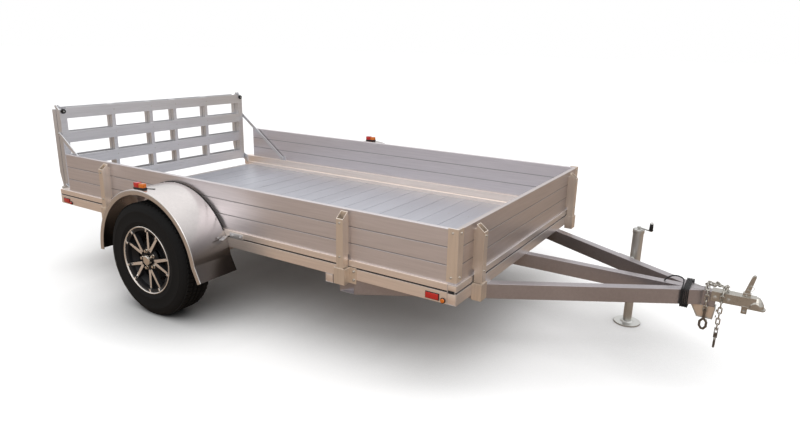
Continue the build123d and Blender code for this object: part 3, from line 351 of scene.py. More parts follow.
def rubber(name, colour, roughness, scale=220, bump=0.0004, dust=0.25):
    """Moulded rubber: fine pores, and a thin uneven film of dust."""
    finish = bpy.data.materials.new(name)
    finish.use_nodes = True
    tree = finish.node_tree
    shader = tree.nodes["Principled BSDF"]
    shader.inputs["Specular IOR Level"].default_value = 0.22
    place = tree.nodes.new("ShaderNodeTexCoord")
    tone_mask = noise(tree, place.outputs["Object"], 7, 6)
    pores = noise(tree, place.outputs["Object"], scale, 3)
    tint = tree.nodes.new("ShaderNodeMix")
    tint.data_type = "RGBA"
    tint.inputs["A"].default_value = (*[value * (1 - dust) for value in colour], 1)
    tint.inputs["B"].default_value = (*[value * (1 + 2 * dust) for value in colour], 1)
    tree.links.new(tone_mask, tint.inputs["Factor"])
    tree.links.new(tint.outputs["Result"], shader.inputs["Base Color"])
    rough = span(tree, tone_mask, (0.0, 1.0), (roughness - 0.12, roughness + 0.12))
    tree.links.new(rough, shader.inputs["Roughness"])
    emboss(tree, shader, pores, bump, 0.5)
    return finish


tyre_rubber = rubber("tyre_rubber", (0.005, 0.005, 0.0052), 0.78)
CARCASS = [(185, 81), (196, 90), (216, 97), (230, 99.6), (234, 101), (238, 99.9), (268, 101.2), (290, 100.0),
           (294, 101), (298, 99.2), (312, 96.8), (326, 90), (335, 81), (339, 70), (339, 36), (334.5, 34),
           (334.5, 29), (339, 27), (339, 5), (334.5, 3)]
INSIDE = [(185, 71), (270, 92), (322, 80), (331, 64)]
RIBS = ((-58.0, 0.038304), (-15.5, 0.018144), (15.5, 0.018144), (58.0, 0.038304))   # outward, width
RIB_BLOCKS, BLOCK_L, BLOCK_DEEP, BLOCK_MID_R = 72, 0.0252, 0.010, 0.3385
BLOCK_SLANT = radians(9)
for side, body in ((-1, "wheel_right"), (1, "wheel_left")):
    mesh = bmesh.new()
    outside = CARCASS + [(radius, -out) for radius, out in reversed(CARCASS)]
    within = [(radius, -out) for radius, out in INSIDE] + [(radius, out) for radius, out in reversed(INSIDE)]
    lathe(mesh, outside + within, side)
    for row, (rib, width) in enumerate(RIBS):
        slant = Matrix.Rotation(BLOCK_SLANT if rib > 0 else -BLOCK_SLANT, 4, "Z")
        spot = Matrix.Translation((0, rib / 1000, BLOCK_MID_R)) @ slant
        size = Matrix.Diagonal((BLOCK_L, width, BLOCK_DEEP, 1))
        for number in range(RIB_BLOCKS):
            turn = Matrix.Rotation(2 * pi * (number + 0.5 * (row % 2)) / RIB_BLOCKS, 4, "Y")
            place = Matrix.Translation(wheel_middle(side)) @ turn @ spot @ size
            break_edges(mesh, bmesh.ops.create_cube(mesh, size=1, matrix=place), 0.0012, segments=1)
    piece("tyre_" + body[6:] + "_rubber", mesh, tyre_rubber, body, "tyre", "tyre_" + body[6:])

# ---- wheels --------------------------------------------------------------------------------------
# Cast alloy wheels, painted black, with the lip and the faces of five V-shaped spoke pairs turned
# bright. The brake drum behind them is black too, and five chromed nuts hold the wheel.
RIM_R, SEAT_R, BARREL_R = 206.0, 184.5, 160.0
SPOKE_PAIRS, SPOKE_TURN, SPOKE_LEAN, SPOKE_FACE = 5, 20.0, 14.0, 86.0
SPOKE_IN_R, SPOKE_OUT_R, SPOKE_DEEP, SPOKE_W, SPOKE_FLARE = 60.0, 183.0, 0.026, 0.0155, 0.35
TAB_R, TAB_OUT, TAB_SIZE = 0.1875, 0.0915, (0.0125, 0.010, 0.018, 1)
NUT_R, NUT_OUT = 0.054, 0.074
wheel_black = rubber("wheel_black_paint", (0.012, 0.012, 0.013), 0.38, 400, 0.00005)
wheel_bright = metal("wheel_turned_alloy", (0.86, 0.82, 0.78), 0.20, fine=0.04, patch=0.05, bump=0.00004)
chrome = metal("chrome_plate", (0.80, 0.76, 0.70), 0.12, fine=0.03, patch=0.04, bump=0.00002, metallic=1.0)
BARREL = [(198, 90.5), (SEAT_R, 86.5), (SEAT_R, 63), (BARREL_R, 35), (BARREL_R, -47), (SEAT_R, -61),
          (SEAT_R, -87.5), (RIM_R, -93), (RIM_R, -98), (178, -93), (150, -51), (150, 39), (176, 67),
          (179.5, 88), (198, 92.5)]
BOSS = [(36, 60), (72, 60), (76, 64), (74, 70), (66, 74), (36, 76)]
DRUM = [(60.5, -36), (122, -34), (126, -30), (127, 24), (124, 30), (112, 34), (66, 36), (60.5, 40)]
CAP = [(0.02, -40), (60, -40), (60, -26), (32, -22), (31.5, 80), (30, 86), (30, 92), (28.5, 96.5), (24, 99),
       (16, 100), (0.02, 100)]
LIP = [(197, 90), (RIM_R - 1.5, 91.5), (RIM_R, 93.5), (RIM_R, 98), (RIM_R - 1.5, 99.4), (RIM_R - 4.5, 99.4),
       (RIM_R - 7, 97.5), (197, 92)]


def spoke_leg(mesh, side, turn, lean):
    """One leg of a V: a tapered bar, bright on its face and black down its sides."""
    hub = wheel_middle(side)
    ends = []
    for radius, angle in ((SPOKE_IN_R, SPOKE_LEAN / 3), (SPOKE_OUT_R, SPOKE_LEAN)):
        way = radians(turn + lean * angle)
        ends.append(Vector((sin(way) * radius, 0, cos(way) * radius)) / 1000)
    run = ends[1] - ends[0]
    middle = hub + (ends[0] + ends[1]) / 2 + Vector((0, side * (SPOKE_FACE / 1000 - SPOKE_DEEP / 2), 0))
    way, out = run.normalized(), Vector((0, 1, 0))
    flat = Matrix((way, out, way.cross(out))).transposed().to_4x4()
    size = Matrix.Diagonal((run.length, SPOKE_DEEP, SPOKE_W, 1))
    made = bmesh.ops.create_cube(mesh, size=1, matrix=Matrix.Translation(middle) @ flat @ size)
    for vert in made["verts"]:
        if (vert.co - hub - ends[0]).length < (vert.co - hub - ends[1]).length:
            across = (vert.co - middle).dot(flat.col[2].xyz)
            vert.co += flat.col[2].xyz * across * SPOKE_FLARE
    break_edges(mesh, made, 0.0016,
                lambda edge: all((vert.co.y - middle.y) * side > 0 for vert in edge.verts))


for side, body in ((-1, "wheel_right"), (1, "wheel_left")):
    name = body[6:]
    mesh = bmesh.new()
    lathe(mesh, BARREL, side, 96)
    lathe(mesh, BOSS, side, 64)
    piece("rim_" + name + "_barrel", mesh, wheel_black, body, "wheel_alloy", "rim_" + name)
    mesh = bmesh.new()
    lathe(mesh, LIP, side, 96)
    for number in range(SPOKE_PAIRS):
        for lean in (-1, 1):
            turn = SPOKE_TURN + number * 360 / SPOKE_PAIRS
            spoke_leg(mesh, side, turn, lean)
            way = radians(turn + lean * SPOKE_LEAN)
            tab = wheel_middle(side) + Vector((sin(way) * TAB_R, side * TAB_OUT, cos(way) * TAB_R))
            flat = Matrix.Rotation(way, 4, "Y") @ Matrix.Diagonal(TAB_SIZE)
            made = bmesh.ops.create_cube(mesh, size=1, matrix=Matrix.Translation(tab) @ flat)
            break_edges(mesh, made, 0.0018)
    made = piece("rim_" + name + "_spokes", mesh, [wheel_bright, wheel_black], body, "wheel_alloy")
    for face in made.data.polygons:
        radius = hypot(face.center.x + MID, face.center.z - WHEEL_Z)
        if abs(face.normal.y) < 0.5 and radius < 0.179:
            face.material_index = 1
    mesh = bmesh.new()
    lathe(mesh, DRUM, side, 72)
    piece("brake_drum_" + name, mesh, wheel_black, body, "wheel_alloy")
    mesh = bmesh.new()
    lathe(mesh, CAP, side, 64)
    out = Vector((0, side, 0))
    for number in range(SPOKE_PAIRS):
        way = radians(SPOKE_TURN + (number + 0.5) * 360 / SPOKE_PAIRS)
        foot = wheel_middle(side) + Vector((sin(way) * NUT_R, side * NUT_OUT, cos(way) * NUT_R))
        rod(mesh, foot, foot + out * 0.006, 11.5, 20)
        rod(mesh, foot + out * 0.004, foot + out * 0.017, 9.5, 6, 1.0)
    piece("hub_" + name + "_cap", mesh, chrome, body, "chrome", "hub_" + name)

# ---- fenders -------------------------------------------------------------------------------------
# Rolled aluminium arches, pressed bright, with a hemmed outer lip and a flared front skirt. They
# are riveted and welded along the rail, with black sealing strip over the joint.
ARCH_Z, ARCH_R, ARCH_OUT, ARCH_IN = 334.0, 434.0, 1190.0, 924.0
ARCH_END, ARCH_STEPS = 9.0, 64
SEAL_R, SEAL_FROM, SEAL_TURN, SEAL_STEPS = 0.0026, 152.5, 125, 48
RIVETS, RIVET_FROM, RIVET_TURN, RIVET_OUT = 9, 142, 13, 942
LIP_OUT = 1.1868
SKIRT_TOP, SKIRT_FOOT = (430.4, 396.0), (471.5, 309.0)
SECTION = [(0.0, 925.0), (0.0, 1183.5), (-0.7, 1186.8), (-2.6, 1189.0), (-5.5, 1189.9), (-25.5, 1189.9),
           (-28.8, 1189.6), (-31.2, 1188.0), (-31.8, 1185.6), (-30.6, 1183.6), (-28.2, 1183.2),
           (-26.6, 1184.6), (-26.0, 1186.8), (-6.5, 1187.0), (-4.0, 1185.6), (-3.0, 1183.0), (-3.0, 925.0)]


def circle(radius, sides):
    """A round outline."""
    turns = [2 * pi * step / sides for step in range(sides)]
    return [(cos(turn) * radius, sin(turn) * radius) for turn in turns]


def arch_way(turn):
    """The way out of a wheel's arch at so many degrees up from straight ahead."""
    return Vector((cos(radians(turn)), 0, sin(radians(turn))))


def sweep_ring(mesh, ring, frames, closed=False):
    """Carries an outline of (across, up) metres along a row of frames, and caps its ends."""
    verts = [mesh.verts.new(frames[0] @ Vector((across, up, 0))) for across, up in ring]
    edges = [mesh.edges.new((a, b)) for a, b in zip(verts, verts[1:] + verts[:1])]
    first = list(edges)
    for here, there in zip(frames, frames[1:]):
        grown = bmesh.ops.extrude_edge_only(mesh, edges=edges)["geom"]
        edges = [edge for edge in grown
                 if isinstance(edge, bmesh.types.BMEdge) and all(vert in grown for vert in edge.verts)]
        moved = [vert for vert in grown if isinstance(vert, bmesh.types.BMVert)]
        bmesh.ops.transform(mesh, matrix=there @ here.inverted(), verts=moved)
    if not closed:
        for end in (first, edges):
            bmesh.ops.edgeloop_fill(mesh, edges=end)


def frame_at(place, across, up):
    """A frame at a place, with its X across and its Y up."""
    across, up = Vector(across).normalized(), Vector(up).normalized()
    turned = Matrix((across, up, across.cross(up))).transposed().to_4x4()
    return Matrix.Translation(place) @ turned


def bright_sheet(name, colour, roughness, tone_mask=None):
    """Bright rolled sheet, darker towards the bottom as painted shade where a tone mask is given."""
    return metal(name, colour, roughness, (1, 1, 1), 0.05, 0.03, 0.00006, 0.95, 0.03, tone_mask=tone_mask)


# Painted shade: the fender sheet darkens towards the bottom, for the dark ground it reflects.
fender_top = bright_sheet("fender_sheet", (0.66, 0.62, 0.61), 0.24, (0.36, 0.74, 0.16))
fender_lip = bright_sheet("fender_lip", (0.66, 0.63, 0.61), 0.26)
seal_black = rubber("sealing_strip", (0.012, 0.012, 0.012), 0.55, 300, 0.0001)
for side, name in ((-1, "right"), (1, "left")):
    mesh = bmesh.new()
    ring = [((out - ARCH_OUT) / 1000, up / 1000) for up, out in SECTION]
    frames = []
    for step in range(ARCH_STEPS + 1):
        way = arch_way(180 - (180 - ARCH_END) * step / ARCH_STEPS)
        frames.append(frame_at(at(0, side * ARCH_OUT, ARCH_Z) + way * ARCH_R / 1000, (0, side, 0), way))
    run = Vector((SKIRT_FOOT[0] - SKIRT_TOP[0], 0, SKIRT_FOOT[1] - SKIRT_TOP[1])).normalized()
    for x, z in (SKIRT_TOP, SKIRT_FOOT):
        frames.append(frame_at(at(x, side * ARCH_OUT, z), (0, side, 0), (-run.z, 0, run.x)))
    sweep_ring(mesh, ring, frames)
    for face in mesh.faces:
        face.material_index = int(abs(face.calc_center_median().y) > LIP_OUT)
    piece("fender_" + name + "_sheet", mesh, (fender_top, fender_lip), "chassis", "polished",
          "fender_" + name, sharp=40)
    mesh = bmesh.new()
    frames = []
    for step in range(SEAL_STEPS + 1):
        way = arch_way(SEAL_FROM - SEAL_TURN * step / SEAL_STEPS)
        spot = at(0, side * (ARCH_IN + 5), ARCH_Z) + way * (ARCH_R + 1.5) / 1000
        frames.append(frame_at(spot, (0, side, 0), way))
    sweep_ring(mesh, circle(SEAL_R, 10), frames)
    piece("fender_" + name + "_seal", mesh, seal_black, "chassis", "black_rubber")
    mesh = bmesh.new()
    slab(mesh, (484.5, side * 926.2, 516.5), (105, 4.4, 33), 1.6)
    slab(mesh, (424, side * 964, 507), (26, 92, 4.4), 1.6, Matrix.Rotation(side * radians(-28), 4, "Z"))
    for x, z in ((452, 516), (517, 516)):
        bolt(mesh, at(x, side * 928.4, z), (0, side, 0), 6.5, 6)
    bolt(mesh, at(409, side * 992, 509.2), (0, 0, 1), 5.5, 6)
    strap_metal = metal("strap_aluminium_" + name, (0.62, 0.62, 0.63), 0.36)
    piece("fender_" + name + "_strap", mesh, strap_metal, "chassis", "polished")
    mesh = bmesh.new()
    centre = at(0, side * RIVET_OUT, ARCH_Z)
    for step in range(RIVETS):
        way = arch_way(RIVET_FROM - RIVET_TURN * step)
        rod(mesh, centre + way * (ARCH_R - 0.5) / 1000, centre + way * (ARCH_R + 2.2) / 1000, 4.2, 16, 1.2)
    piece("fender_" + name + "_rivets", mesh, fender_top, "chassis", "polished")

# ---- lamps ---------------------------------------------------------------------------------------
# Sealed marker lamps with ribbed acrylic lenses on black bases: a red and an amber strip on each
# fender, red reflectors and a round marker on each rail, and slim red tail lamps on the rail ends.
def lens(name, colour):
    """Tinted acrylic with the fine square pattern of a moulded lens."""
    finish = bpy.data.materials.new(name)
    finish.use_nodes = True
    tree = finish.node_tree
    shader = tree.nodes["Principled BSDF"]
    shader.inputs["Roughness"].default_value = 0.16
    shader.inputs["Coat Weight"].default_value = 0.6
    place = tree.nodes.new("ShaderNodeTexCoord")
    cells = tree.nodes.new("ShaderNodeTexVoronoi")
    cells.inputs["Scale"].default_value = 260
    cells.inputs["Randomness"].default_value = 0.0
    tree.links.new(place.outputs["Object"], cells.inputs["Vector"])
    depth = tree.nodes.new("ShaderNodeMix")
    depth.data_type = "RGBA"
    depth.inputs["A"].default_value = (*colour, 1)
    depth.inputs["B"].default_value = (*[value * 0.45 for value in colour], 1)
    tree.links.new(cells.outputs["Distance"], depth.inputs["Factor"])
    tree.links.new(depth.outputs["Result"], shader.inputs["Base Color"])
    emboss(tree, shader, cells.outputs["Distance"], 0.0005, 0.5)
    return finish


red_lens, amber_lens = lens("red_lens", (0.62, 0.015, 0.012)), lens("amber_lens", (0.85, 0.20, 0.01))
lamp_black = rubber("lamp_base_plastic", (0.014, 0.014, 0.014), 0.42, 500, 0.00008)
LAMP_TURN, LAMP_OUT = radians(-3), 1160
# Base, red lens and amber lens: place along, height over the arch's middle, size and bevel.
FENDER_LAMP = ((0, 438, (88, 30, 12), 2.5), (-20, 456, (45, 27, 32), 4.0), (23, 454, (39, 27, 28), 4.0))
REFLECTORS_X, MARKERS_Z = ((1729, 1804), (-1260, -1185)), 456
reds, ambers, bases = bmesh.new(), bmesh.new(), bmesh.new()
for side in (-1, 1):
    lean = Matrix.Rotation(LAMP_TURN, 4, "Y")
    for (along, up, size, bevel), mesh in zip(FENDER_LAMP, (bases, reds, ambers)):
        spot = lean @ Vector((along, 0, up))
        slab(mesh, (spot.x, side * LAMP_OUT, ARCH_Z + spot.z), size, bevel, lean)
    for along in (-40.5, 40.5):
        spot = lean @ Vector((along, 0, 443))
        foot = at(spot.x, side * LAMP_OUT, ARCH_Z + spot.z)
        rod(bases, foot - Vector((0, 0, 0.002)), foot + Vector((0, 0, 0.0012)), 2.2, 12, 0.5)
    rod(bases, at(-4, side * 1151, ARCH_Z + 436), at(46, side * 1112, ARCH_Z + 433.5), 2.4, 10)
    for x in REFLECTORS_X:
        bar(bases, x, (side * 924, side * 926.6), (449, 484), 1.0)
        bar(reds, (x[0] + 3, x[1] - 3), (side * 926, side * 930), (452, 481), 1.4)
    for x, radius, mesh in ((1824, 14, ambers), (-1168, 12, reds)):
        rod(bases, at(x, side * 924, MARKERS_Z), at(x, side * 929, MARKERS_Z), radius, 32, 1.5)
        rod(mesh, at(x, side * 928, MARKERS_Z), at(x, side * 936, MARKERS_Z), radius - 2.6, 32, 2.4,
            radius - 4.5)
    bar(bases, (-1299, -1292), (side * 880, side * 918), (449, 522), 2.0)
    bar(reds, (-1306, -1298), (side * 883, side * 915), (452, 519), 3.0)
piece("lamp_bases", bases, lamp_black, "chassis", "black_plastic", "marker_lamps_rear")
piece("red_lenses", reds, red_lens, "chassis", "red_lens", "lamps_red")
piece("amber_lenses", ambers, amber_lens, "chassis", "amber_lens", "lamps_amber")

# ---- fasteners on the box ------------------------------------------------------------------------
# Zinc-plated bolts hold the stake pockets, the corner angles and the hinges. Small screws fix the
# floor planks to the members below, and a weld bead closes each joint of the tongue.
STAKES_X, STAKE_Y, BOLT_ASIDE = (-703, 1258), 730, 57
POCKET_BOLTS_Z, STAKE_BOLTS_Z, CORNER_BOLTS_Z = (440, 486), (566, 742), (572, 786)
MEMBERS_X, MEMBER_Z, PLUG_Y = (-760, 300, 1130), (395.3, 436.7), (919, 923.4)
RAIL_PLUG_X, RAIL_PLUGS_Z, SLOT_Z = (1846.3, 1887.7), ((445.3, 496), (512, 537.7)), (500, 508)
PLANKS, PLANK_L, FLOOR_FROM, SCREWS_Y = 20, 152, -1206, (-836, -430, 0, 430, 836)
zinc = metal("zinc_plate", (0.56, 0.55, 0.52), 0.34, patch=0.14, fine=0.08, bump=0.0001)
mesh = bmesh.new()
for x in STAKES_X:
    for side in (-1, 1):
        for z in POCKET_BOLTS_Z:
            bolt(mesh, at(x + BOLT_ASIDE, side * 928, z), (0, side, 0), 6.0, 6)
        for z in STAKE_BOLTS_Z:
            bolt(mesh, at(x, side * 970, z), (0, side, 0), 4.6, 6)
for side in (-1, 1):
    for z in POCKET_BOLTS_Z:
        bolt(mesh, at(1896, side * STAKE_Y + BOLT_ASIDE, z), (1, 0, 0), 6.0, 6)
    for z in STAKE_BOLTS_Z:
        bolt(mesh, at(1938, side * STAKE_Y, z), (1, 0, 0), 4.6, 6)
    for z in CORNER_BOLTS_Z:
        bolt(mesh, at(1856, side * 918, z), (0, side, 0), 5.0, 6)
        bolt(mesh, at(1886, side * 888, z), (1, 0, 0), 5.0, 6)
piece("box_bolts", mesh, zinc, "chassis", "zinc")
mesh = bmesh.new()
for side in (-1, 1):
    plug_y = [side * y for y in PLUG_Y]
    for z in RAIL_PLUGS_Z:
        bar(mesh, RAIL_PLUG_X, plug_y, z, 0.8)
    for x in MEMBERS_X:
        bar(mesh, (x + 4.3, x + 45.7), plug_y, MEMBER_Z, 0.8)
piece("tube_end_plugs", mesh, rail_metal, "chassis", "aluminium")
# Painted shade: a near-black strip lines the floor of each rail's slot, standing in for the shadow deep
# inside it.
slot_painted_shade = metal("slot_shadowed_aluminium", (0.045, 0.045, 0.05), 0.6, ALONG_X, metallic=0.5)
mesh = bmesh.new()
for side in (-1, 1):
    bar(mesh, (-1291, 1891), (side * 917.3, side * 918.6), SLOT_Z, 0.2)
bar(mesh, (1885.4, 1886.6), (-923, 923), SLOT_Z, 0.2)
piece("slot_floors", mesh, slot_painted_shade, "chassis", "aluminium")
mesh = bmesh.new()
for number in range(PLANKS):
    x = FLOOR_FROM + PLANK_L * (number + 0.5)
    for y in SCREWS_Y:
        rod(mesh, at(x, y, 460.8), at(x, y, 461.7), 5.0, 12, 0.5, 4.0)
piece("floor_screws", mesh, zinc, "chassis", "zinc")


def weld(mesh, start, end, size=2.6):
    """A run of small overlapping ripples between two points in metres."""
    run = end - start
    shape = run.to_track_quat("X", "Z").to_matrix().to_4x4()
    shape = shape @ Matrix.Diagonal((0.0032, size / 1000, size / 1000, 1))
    count = max(3, int(run.length / 0.004))
    for number in range(count):
        place = Matrix.Translation(start + run * ((number + 0.5) / count))
        bmesh.ops.create_icosphere(mesh, subdivisions=1, radius=1, matrix=place @ shape)


mesh = bmesh.new()
for side in (-1, 1):
    for z in (441, 361):
        weld(mesh, at(2771, side * 26, z), at(2832, side * 25.6, z))
    weld(mesh, at(1892.4, side * 530, 441), at(1892.4, side * 580, 441), 2.0)
    weld(mesh, at(1892.4, side * 25.4, 441), at(1892.4, side * 2, 441), 2.0)
weld_metal = metal("weld_bead", (0.50, 0.49, 0.47), 0.30, patch=0.2, fine=0.2)
piece("tongue_welds", mesh, weld_metal, "chassis", "aluminium")
CHEEK = ((2785, 360.5), (2894, 360.5), (2886, 299.5), (2817, 299.5))
mesh = bmesh.new()
for side in (-1, 1):
    corners = [mesh.verts.new(at(x, side * 20.5, z)) for x, z in CHEEK]
    cheek = bmesh.ops.contextual_create(mesh, geom=corners)["faces"]
    grown = bmesh.ops.extrude_face_region(mesh, geom=cheek)["geom"]
    moved = [part for part in grown if isinstance(part, bmesh.types.BMVert)]
    bmesh.ops.translate(mesh, vec=(0, side * 0.004, 0), verts=moved)
piece("nose_cheeks", mesh, post_metal, "chassis", "aluminium")

# ---- gate trim -----------------------------------------------------------------------------------
# A round rubber bumper sits on the inner face of each side tube near its top, held by a screw.
# Small screws fix the slats to the uprights, and bolts with washers hold the hinges and the struts.
BUMPER_Y, BUMPER_Z, GATE_X = 838, 1088, -1292
SLAT_SCREWS_Y, SLAT_SCREWS_Z = (-445, -115, 115, 445), (556, 735, 906, 1075)
mesh = bmesh.new()
for side in (-1, 1):
    middle = at(GATE_X + 4.5, side * BUMPER_Y, BUMPER_Z)
    rod(mesh, middle - Vector((0.0045, 0, 0)), middle + Vector((0.0125, 0, 0)), 18.5, 32, 3.0, 16.5)
piece("gate_bumper_rubbers", mesh, lamp_black, "gate_lower", "black_rubber", "gate_bumpers")
mesh = bmesh.new()
for side in (-1, 1):
    rod(mesh, at(-1277, side * BUMPER_Y, BUMPER_Z), at(-1273, side * BUMPER_Y, BUMPER_Z), 5.5, 20, 1.0)
for y in SLAT_SCREWS_Y:
    for z in SLAT_SCREWS_Z:
        rod(mesh, at(-1287.6, y, z), at(-1285.8, y, z), 4.4, 14, 0.7)
piece("gate_screws", mesh, zinc, "gate_lower", "zinc")
mesh = bmesh.new()
for side in (-1, 1):
    bolt(mesh, at(-1309, side * 888, 545), (0, side, 0), 9.0, 6)
    bolt(mesh, at(-812, side * 884, 562), (0, side, 0), 6.0, 6)
    for x in (-834, -790):
        bolt(mesh, at(x, side * 884, 552), (0, side, 0), 4.0, 6)
piece("gate_hinge_bolts", mesh, zinc, "chassis", "zinc")
for name, side in (("right", -1), ("left", 1)):
    mesh = bmesh.new()
    bolt(mesh, at(-1309, side * 876, 930), (0, side, 0), 6.0, 6)
    rod(mesh, at(-812, side * 867, 562), at(-812, side * 864, 562), 10, 20, 0.8)
    piece("strut_bolts_" + name, mesh, zinc, "strut_" + name, "zinc")

# ---- coupler -------------------------------------------------------------------------------------
# A zinc-plated pressed channel bolted over the end of the centre beam. A forked lever with a lock
# pin draws a jaw up under the ball, and a spring washer and nut set how tightly it grips.
coupler_zinc = metal("zinc_coupler", (0.46, 0.44, 0.40), 0.28, patch=0.20, fine=0.08, bump=0.00015)
for name in ("coupler", "coupler_socket", "coupler_latch", "chain_anchors"):
    dress(coupler_zinc, name, width=0.0016)
RING_R, RING_WIRE_R, RING_STEPS = 0.013, 0.0011, 24         # the ring on the lock pin
mesh = bmesh.new()
for side in (-1, 1):
    for x in (2884, 2944):
        bolt(mesh, at(x, side * 30.2, 416), (0, side, 0), 8.0, 6)
rod(mesh, at(3017, -17, 367), at(3017, 17, 367), 5.2, 16, 1.0)
bolt(mesh, at(3017, -10, 367), (0, -1, 0), 6.5, 6)
bolt(mesh, at(3017, 10, 367), (0, 1, 0), 6.5, 6)
rod(mesh, at(3018, -16, 480), at(3018, 16, 480), 4.0, 16, 0.8)
rod(mesh, at(3031, -15, 505), at(3031, 15, 505), 2.2, 12, 0.4)
rod(mesh, at(3016, -19, 452), at(3016, 19, 452), 4.6, 16, 0.8)
frames = []
for step in range(RING_STEPS + 1):
    turn = 2 * pi * step / RING_STEPS
    way = Vector((sin(turn), 0, cos(turn)))
    frames.append(frame_at(at(3031, -17, 492) + way * RING_R, way, (0, 1, 0)))
sweep_ring(mesh, circle(RING_WIRE_R, 8), frames, True)
piece("coupler_bolts", mesh, zinc, "chassis", "zinc")

# ---- safety chains -------------------------------------------------------------------------------
# Two short zinc-plated chains of welded links, each bolted to the tongue at one end and ending in a
# clevis hook. They are heaped over the beam, and every link is turned a quarter against the last.
LINK_WIRE, LINK_PITCH, LINK_INSIDE_W, LINK_PLAY, LINK_BEAD_R = 6.5, 30.0, 10.0, 0.4, 0.0039
CHAIN_NEAR = [(2836, 42, 396), (2838, 44, 442), (2840, 24, 466), (2846, -26, 464), (2850, -47, 444),
              (2850, -43, 316)]
CHAIN_FAR = [(2934, 50, 408), (2932, 52, 448), (2930, 30, 470), (2922, -30, 468), (2917, -54, 450),
             (2915, -49, 252)]
CHAIN_HEAP = [(2848, 20, 476), (2866, -24, 474), (2886, 18, 476), (2904, -22, 474), (2918, 10, 478)]


def link_places(points):
    """A frame in millimetres for each link along a route, as far apart as linked wire lies."""
    route = [Vector(point) for point in points]
    lengths = [(b - a).length for a, b in zip(route, route[1:])]
    step = LINK_PITCH - LINK_PLAY
    places = []
    for number in range(int(sum(lengths) / step)):
        ends = []
        for along in (number * step, (number + 1) * step):
            for a, b, length in zip(route, route[1:], lengths):
                if along <= length:
                    break
                along -= length
            ends.append(a + (b - a) * (along / length))
        run = (ends[1] - ends[0]).normalized()
        flat = Vector((0, 1, 0)) if abs(run.z) > 0.7 else Vector((0, 0, 1))
        face = flat.cross(run).normalized()
        frame_of = Matrix((run, face.cross(run), face)).transposed().to_4x4()
        spin = Matrix.Rotation(radians(90 + 90 * (number % 2)), 4, "X")
        places.append(Matrix.Translation((ends[0] + ends[1]) / 2) @ frame_of @ spin)
    return places


TO_METRES = Matrix.Translation((-MID, 0, 0)) @ Matrix.Scale(0.001, 4)
mesh = bmesh.new()
mid_w = (LINK_INSIDE_W + LINK_WIRE) / 2
straight = (LINK_PITCH + LINK_WIRE - 2 * mid_w) / 2
wire = circle(LINK_WIRE / 2000, 10)
for place in link_places(CHAIN_NEAR) + link_places(CHAIN_FAR) + link_places(CHAIN_HEAP):
    frames = []
    for end in (1, -1):
        for step in range(9):
            turn = radians(180 * step / 8)
            spot = Vector((end * (straight + mid_w * sin(turn)), end * -mid_w * cos(turn), 0))
            way = Vector((end * sin(turn), end * -cos(turn), 0))
            spot = TO_METRES @ (place @ spot)
            frames.append(frame_at(spot, place.to_3x3() @ way, place.to_3x3() @ Vector((0, 0, 1))))
    sweep_ring(mesh, wire, frames + frames[:1], True)
    joint = TO_METRES @ (place @ Vector((0, mid_w, 0)))
    bmesh.ops.create_icosphere(mesh, subdivisions=2, radius=LINK_BEAD_R, matrix=Matrix.Translation(joint))
piece("chain_links", mesh, coupler_zinc, "chassis", "zinc", "safety_chains", sharp=45)
hook_steel = metal("oiled_hook_steel", (0.17, 0.15, 0.13), 0.36, patch=0.2, fine=0.1)
dress(hook_steel, "chain_hooks", width=0.002)
mesh = bmesh.new()
for place in (link_places(CHAIN_NEAR)[-1], link_places(CHAIN_FAR)[-1]):
    low, high = place @ Vector((58, -14, 0)), place @ Vector((88, -16, 0))
    rod(mesh, TO_METRES @ low, TO_METRES @ high, 3.0, 12, 0.8)
    for spot in (low, high):
        knob_at = Matrix.Translation(TO_METRES @ spot)
        bmesh.ops.create_uvsphere(mesh, u_segments=12, v_segments=8, radius=0.0042, matrix=knob_at)
piece("hook_gates", mesh, zinc, "chassis", "zinc")

# ---- wiring cable --------------------------------------------------------------------------------
# One black jacketed cable leaves the end of the centre beam, rises in a loop over it and is then
# wound five times round the tongue, where its end is tucked under the last turn.
CABLE_D = 0.007
route = [at(2640, 0, 442), at(2660, 0, 470), at(2696, 0, 482), at(2732, 0, 472), at(2735, -30, 456)]
HALF_Y, LOW_Z, HIGH_Z, ROUND, RUN_IN = 91.0, 352.5, 449.5, 9.0, 26
TURNS, COIL_X, COIL_PITCH = 5, 2736, 7.6
# Each corner's side and height, the way back along the cable and the way on from it.
CORNERS = (((-1, 1), (1, 0), (0, -1)), ((-1, -1), (0, 1), (1, 0)),
           ((1, -1), (-1, 0), (0, 1)), ((1, 1), (0, -1), (-1, 0)))
for turn in range(TURNS):
    for number, ((across, up), (back_y, back_z), (on_y, on_z)) in enumerate(CORNERS):
        x = COIL_X + COIL_PITCH * (turn + number / 4)
        y, z = across * HALF_Y, (HIGH_Z + LOW_Z) / 2 + up * (HIGH_Z - LOW_Z) / 2
        route.append(at(x - 0.3, y + back_y * RUN_IN, z + back_z * RUN_IN))
        route.append(at(x - 0.2, y + back_y * ROUND, z + back_z * ROUND))
        route.append(at(x, y + (back_y + on_y) * ROUND * 0.25, z + (back_z + on_z) * ROUND * 0.25))
        route.append(at(x + 0.2, y + on_y * ROUND, z + on_z * ROUND))
route.append(at(2773.5, 40, HIGH_Z))
cable_line = bpy.data.curves.new("wiring_cable", "CURVE")
cable_line.dimensions = "3D"
cable_line.bevel_depth = CABLE_D / 2
cable_line.bevel_resolution = 3
cable_line.use_fill_caps = True
spline = cable_line.splines.new("NURBS")
spline.points.add(len(route) - 1)
for point, place in zip(spline.points, route):
    point.co = (*place, 1)
spline.order_u = 3
spline.use_endpoint_u = True
spline.resolution_u = 4
cable = bpy.data.objects.new("wiring_cable", cable_line)
bpy.context.scene.collection.objects.link(cable)
cable_line.materials.append(rubber("cable_jacket", (0.016, 0.016, 0.017), 0.45, 900, 0.00005))
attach(cable, "chassis")
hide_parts("cable_run", "cable_coil")

